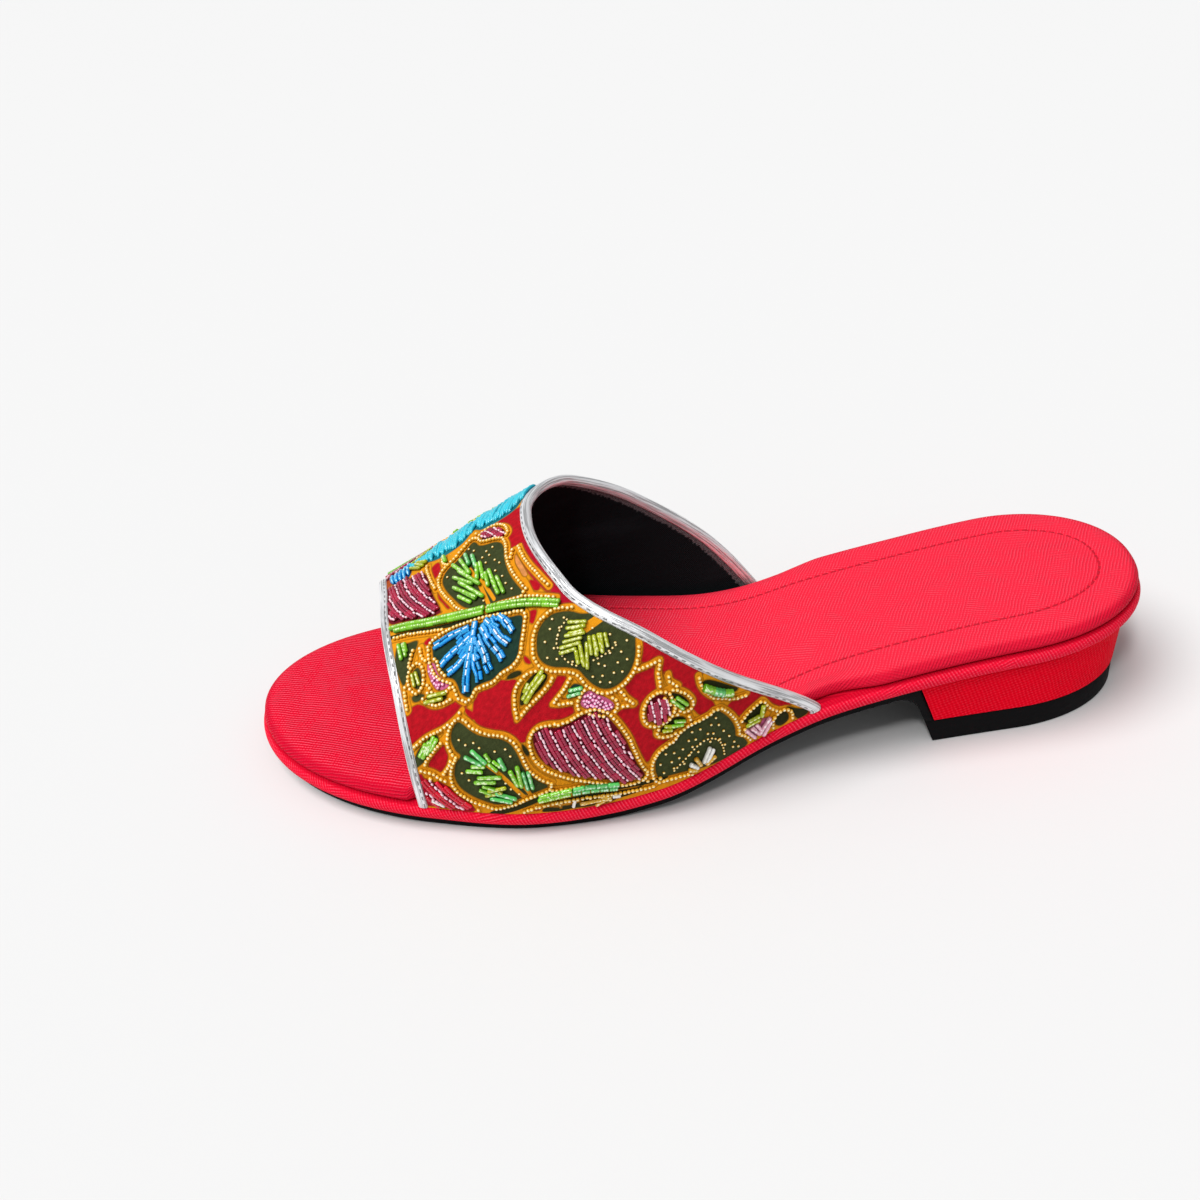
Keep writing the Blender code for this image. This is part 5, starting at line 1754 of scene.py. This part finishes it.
def add_strands(name, strands, finish):
    """Strands as one piece, each with a tint of its own."""
    piece = add_piece(name, join_strands(strands), finish)
    rings = [len(strand_rings) for strand_rings in strands]
    tints = np.random.default_rng(SEED).random(len(strands))
    add_values(piece, "tint", np.repeat(tints, np.array(rings) * STRAND_SIDES))
    # The height round each strand, which the glass reads to paint shade below and light on top
    add_values(piece, "rise", np.tile(np.sin(turns(STRAND_SIDES)), sum(rings)))


def stem_rows(colour):
    """Places, directions, lengths and widths of the bugles in two lanes along each stem of a colour."""
    rows = []
    for name, width, points in STEMS:
        for path in both_sides(points) if name == colour else ():
            line = smooth_path(path)
            across = beside(unit(np.gradient(line, axis=0)))
            for lane in (-1.0, 1.0):
                pitch = STEM_BUGLE * (1.0 + STEM_STAGGER * lane)
                spots, along = spaced(line + across * (STEM_SPREAD * lane) * width, pitch)
                clear = VAMP.clear(spots, *STEM_ROOM)
                sizes = [np.full(clear.sum(), size) for size in (STEM_OVERLAP * pitch, STEM_SHARE * width)]
                rows.append((spots[clear], along[clear], *sizes))
    return joined(rows)


class SLIDE_OT_stems(bpy.types.Operator):
    """Stems, as two rows of short bugles side by side"""

    bl_idname = "slide.stems"
    bl_label = "Stems"

    def execute(self, context):
        for colour in sorted({row[0] for row in STEMS}):
            name = "stem_" + colour
            finish = glass(name, getattr(settings(), colour), spread=0.5, gleam=BUGLE_GLEAM, glints=1.26)
            add_beads(name, *stem_rows(colour), BUGLE_SHAPE, BEAD_SIDES, finish, lift=0.5)
        return {"FINISHED"}


def fan_rows(fingers, lanes, pitch):
    """Rows beside each finger's line: they leave the root together and stand apart further on."""
    rows = []
    for finger in fingers:
        for ends in both_sides(finger):
            step = ends[1] - ends[0]
            part = np.linspace(0.0, 1.0, 12)[:, None]
            across = unit(beside(step))
            wave = FAN_WAVE * np.sin(2 * np.pi * FAN_TURNS * part + ends[1, 0])
            for lane in lanes:
                offset = lane * FAN_SPREAD * np.minimum(1.0, 0.5 + part) + wave * part
                rows.append(spaced(ends[0] + step * part + across * offset, pitch))
    return cleared(rows, FAN_ROOM)


class SLIDE_OT_fan(bpy.types.Operator):
    """Blue fan: fingers of blue beads, each with a row of pale dashes on top"""

    bl_idname = "slide.fan"
    bl_label = "Blue fan"

    def execute(self, context):
        blue = settings().blue_glass
        fingers = np.array(FAN)
        between = (fingers[:-1] + fingers[1:]) / 2
        between[:, 1] = between[:, 0] + (between[:, 1] - between[:, 0]) * FAN_WEB
        places, along = fan_rows(np.concatenate([fingers, between]), (-1.0, 1.0), FAN_BEAD)
        places = places + np.random.default_rng(SEED).normal(0.0, FAN_SCATTER, places.shape)
        finish = glass("fan_glass", blue, spread=0.55, gleam=0.62, cap=0.55, glints=1.42)
        shape = (FAN_BEAD * FAN_OVERLAP, FAN_WIDTH, BUGLE_SHAPE, SMALL_SIDES)
        add_beads("fan_beads", places, along, *shape, finish)
        places, along = fan_rows(fingers, (0.0,), FAN_DASH)
        chance = np.random.default_rng(SEED).random((2, len(places)))
        kept = chance[0] > FAN_MISSING
        length = FAN_DASH * (0.65 + 0.35 * chance[1][kept])
        places, along = places[kept], along[kept]
        pale = tuple(0.7 + 0.3 * channel for channel in blue)
        finish = glass("fan_dash_glass", pale, spread=0.1, gleam=0.3)
        shape = (length, FAN_DASH_WIDTH, BUGLE_SHAPE, SMALL_SIDES)
        add_beads("fan_dashes", places, along, *shape, finish, lift=1.25)
        return {"FINISHED"}


def ridge_strands(rng):
    """Strands that cross the ridge side by side, with ragged ends."""
    strands = []
    for x in np.arange(RIDGE_FRINGE["along"][0], RIDGE_FRINGE["along"][-1], RIDGE_STEP):
        end = np.array([x, ridge_fringe(x) + rng.normal(0.0, RIDGE_RAGGED)])
        far = mirrored(np.array([x, ridge_fringe(x) + rng.normal(0.0, RIDGE_RAGGED)]))
        line = end + (far - end) * np.linspace(0.0, 1.0, 12)[:, None]
        bulge = RIDGE_BULGE * (1 + 0.5 * np.sin(0.9 * x) + 0.3 * rng.normal())
        if VAMP.clear(line, *RIDGE_ROOM).all():
            strands.append(strand(line, RIDGE_WIDTH, RIDGE_RINGS, bulge, rng))
    return strands


def tuft_strands(rng):
    """Short blue strands side by side at the front of the ridge."""
    strands = []
    for spot in BLUE_TUFT:
        far = mirrored(np.array(spot))
        line = np.array(spot) + (far - spot) * np.linspace(0.0, 1.0, 12)[:, None]
        strands.append(strand(line, TUFT_WIDTH, TUFT_RINGS, TUFT_BULGE, rng))
    return strands


class SLIDE_OT_ridge(bpy.types.Operator):
    """Turquoise strands over the ridge, and the blue tuft at its front"""

    bl_idname = "slide.ridge"
    bl_label = "Turquoise ridge"

    def execute(self, context):
        rng = np.random.default_rng(SEED)
        finish = glass("turquoise_glass", settings().turquoise, spread=0.4, gleam=0.7, glints=1.46)
        add_strands("turquoise_ridge", ridge_strands(rng), finish)
        finish = glass("tuft_glass", settings().blue_glass, spread=0.35, gleam=0.6)
        add_strands("blue_tuft", tuft_strands(rng), finish)
        return {"FINISHED"}


def petal_rows(shift):
    """Rows that lean and bend across each petal, moved sideways by a share of their step."""
    for patch, first, last, step, lean, bend, top, bottom in PETAL_ROWS:
        girth = np.linspace(top, bottom, 60)
        fall = girth - top
        for start in np.arange(first, last, -step):
            x = start - shift * step - lean * fall - bend * fall**2
            yield patch, np.stack([x, girth], -1)


def lay_petals(shift, pitch, margin, petals):
    """Beads along the rows of some petals, a margin inside the petal's outline."""
    rows = []
    for patch, row in petal_rows(shift):
        for path, outline in zip(both_sides(row), patch_paths(patch)) if patch in petals else ():
            spots, lead = spaced(path, pitch)
            inside = signed_distance(spots, outline) > margin
            rows.append((spots[inside], lead[inside]))
    return cleared(rows, PETAL_ROOM)


def rosette_spots():
    """Beads set close together all over the rosettes."""
    rng = np.random.default_rng(SEED)
    spots = []
    for name in ("front_rose", "middle_rose"):
        for path in patch_paths(name):
            low, high = path.min(0), path.max(0)
            grid = [np.arange(low[axis], high[axis], ROSETTE_PITCH) for axis in range(2)]
            column, row = np.meshgrid(*grid)
            lattice = np.stack([column + 0.5 * (row % 2), row], -1).reshape(-1, 2)
            lattice = lattice + rng.normal(0.0, ROSETTE_SCATTER, lattice.shape)
            spots.append(lattice[signed_distance(lattice, path) > ROSETTE_MARGIN])
    spots = np.concatenate(spots)
    return spots[VAMP.clear(spots, *PETAL_ROOM)]


class SLIDE_OT_petal_beads(bpy.types.Operator):
    """Rows of rose beads and wine bugles across the petals, and the close-set pink rosettes"""

    bl_idname = "slide.petal_beads"
    bl_label = "Petal beads"

    def execute(self, context):
        rose = glass("rose_bead_glass", settings().rose_glass, spread=0.3, gleam=0.3)
        petals = {row[0] for row in PETAL_ROWS}
        places, along = lay_petals(0.0, PETAL_PITCH, PETAL_MARGIN, petals)
        rng = np.random.default_rng(SEED)
        places = places + rng.normal(0.0, PETAL_SCATTER, places.shape)
        length = 1.25 + 0.25 * rng.normal(size=len(places)).clip(-1.5, 1.5)
        add_beads("petal_beads", places, along, length, PETAL_BEAD, SEED_SHAPE, SMALL_SIDES, rose, lift=0.9)
        wine = glass("wine_glass", settings().wine_glass, spread=0.8, gleam=0.78, cap=0.55, glints=1.36)
        ruby = glass("ruby_glass", settings().ruby_glass, spread=0.4, gleam=0.85, cap=0.55, glints=1.5)
        lobe = {"striped_lobe"}
        for name, finish, kinds in (("wine", wine, petals - lobe), ("ruby", ruby, lobe)):
            for lane, shift in WINE_LANES.items():
                rows = lay_petals(shift, WINE_PITCH, WINE_MARGIN, kinds)
                piece = f"{name}_bugles_{lane}"
                add_beads(piece, *rows, WINE_LENGTH, WINE_WIDTH, BUGLE_SHAPE, SMALL_SIDES, finish)
        spots = rosette_spots()
        turn = np.random.default_rng(SEED).random(len(spots)) * np.pi
        along = np.stack([np.cos(turn), np.sin(turn), 0 * turn], -1)
        finish = glass("rosette_glass", settings().rosette, spread=0.35, gleam=0.38)
        shape = (ROSETTE_BEAD, ROSETTE_BEAD, SEED_SHAPE, SMALL_SIDES)
        add_beads("rosette_beads", spots, along, *shape, finish)
        return {"FINISHED"}


def add_floor():
    """A level sheet of floor, wide enough to fill the picture."""
    row = FLOOR_CELLS + 1
    reach = np.linspace(-FLOOR_REACH, FLOOR_REACH, row)
    x, y = np.meshgrid(reach, reach)
    mesh = bpy.data.meshes.new("floor")
    k = np.arange(FLOOR_CELLS)[:, None] * row + np.arange(FLOOR_CELLS)
    quads = np.stack([k, k + 1, k + row + 1, k + row], -1).reshape(-1, 4)
    mesh.from_pydata(np.stack([x, y, 0 * x], -1).reshape(-1, 3).tolist(), [], quads.tolist())
    finish = Finish("floor_paper", Roughness=0.9, Specular_IOR_Level=0.1)
    tooth = finish.noise(finish.place(), 40.0, 3.0)
    finish.set(Base_Color=finish.mix(tooth * 0.1, settings().floor, shade(settings().floor, 0.98)))
    mesh.materials.append(finish.material)
    floor = put("floor", mesh)


def add_sun(name, source, strength, spread):
    """A far light seen from the shoe in one direction, as a disc of some degrees."""
    light = bpy.data.lights.new(name, "SUN")
    light.energy = strength
    light.angle = np.radians(spread)
    lamp = put(name, light)
    lamp.rotation_euler = Vector(source).to_track_quat("Z", "Y").to_euler()


def add_camera():
    """The photograph's camera: its place, its heading, and a lens from its focal length in pixels."""
    yaw, pitch, roll = CAMERA_YAW, CAMERA_PITCH, CAMERA_ROLL
    ahead = np.array([np.cos(yaw) * np.cos(pitch), np.sin(yaw) * np.cos(pitch), np.sin(pitch)])
    right = unit(np.cross(ahead, [0.0, 0.0, 1.0]))
    up = np.cross(right, ahead)
    turned_right = right * np.cos(roll) + up * np.sin(roll)
    turned_up = up * np.cos(roll) - right * np.sin(roll)
    data = bpy.data.cameras.new("photo_camera")
    data.sensor_width = SENSOR
    data.lens = FOCAL_PIXELS / PICTURE_WIDTH * SENSOR
    data.clip_start, data.clip_end = 0.01, 50.0
    camera = put("photo_camera", data)
    place = Matrix(np.column_stack([turned_right, turned_up, -ahead]).tolist()).to_4x4()
    place.translation = to_frame(np.array(CAMERA_PLACE))
    camera.matrix_world = place
    bpy.context.scene.camera = camera


class SLIDE_OT_stage(bpy.types.Operator):
    """Pale floor, soft studio light and the photograph's camera"""

    bl_idname = "slide.stage"
    bl_label = "Stage"

    def execute(self, context):
        add_floor()
        for light in LIGHTS:
            add_sun(*light)
        add_camera()
        scene = context.scene
        scene.world = bpy.data.worlds.new("studio")
        scene.world.use_nodes = True
        sky = scene.world.node_tree.nodes["Background"]
        sky.inputs["Color"].default_value = (1.0, 1.0, 1.0, 1.0)
        sky.inputs["Strength"].default_value = SKY_STRENGTH
        scene.view_settings.view_transform = "Standard"
        return {"FINISHED"}


class SLIDE_PT_finishes(bpy.types.Panel):
    """Lists the slide's operators"""

    bl_label = "Beaded slide"
    bl_space_type = "VIEW_3D"
    bl_region_type = "UI"
    bl_category = "Slide"

    def draw(self, context):
        for operator in OPERATORS:
            self.layout.operator(operator.bl_idname)


OPERATORS = (
    SLIDE_OT_rubber, SLIDE_OT_covers, SLIDE_OT_insole, SLIDE_OT_vamp, SLIDE_OT_bindings,
    SLIDE_OT_seed_beads, SLIDE_OT_bugles, SLIDE_OT_stems, SLIDE_OT_fan, SLIDE_OT_ridge,
    SLIDE_OT_petal_beads, SLIDE_OT_stage,
)
CLASSES = (SlideSettings, *OPERATORS, SLIDE_PT_finishes)


def register():
    for item in CLASSES:
        bpy.utils.register_class(item)
    bpy.types.Scene.slide = bpy.props.PointerProperty(type=SlideSettings)


def unregister():
    del bpy.types.Scene.slide
    for item in reversed(CLASSES):
        bpy.utils.unregister_class(item)


def main():
    register()
    for operator in OPERATORS:
        family, name = operator.bl_idname.split(".")
        getattr(getattr(bpy.ops, family), name)()


if __name__ == "__main__":
    main()
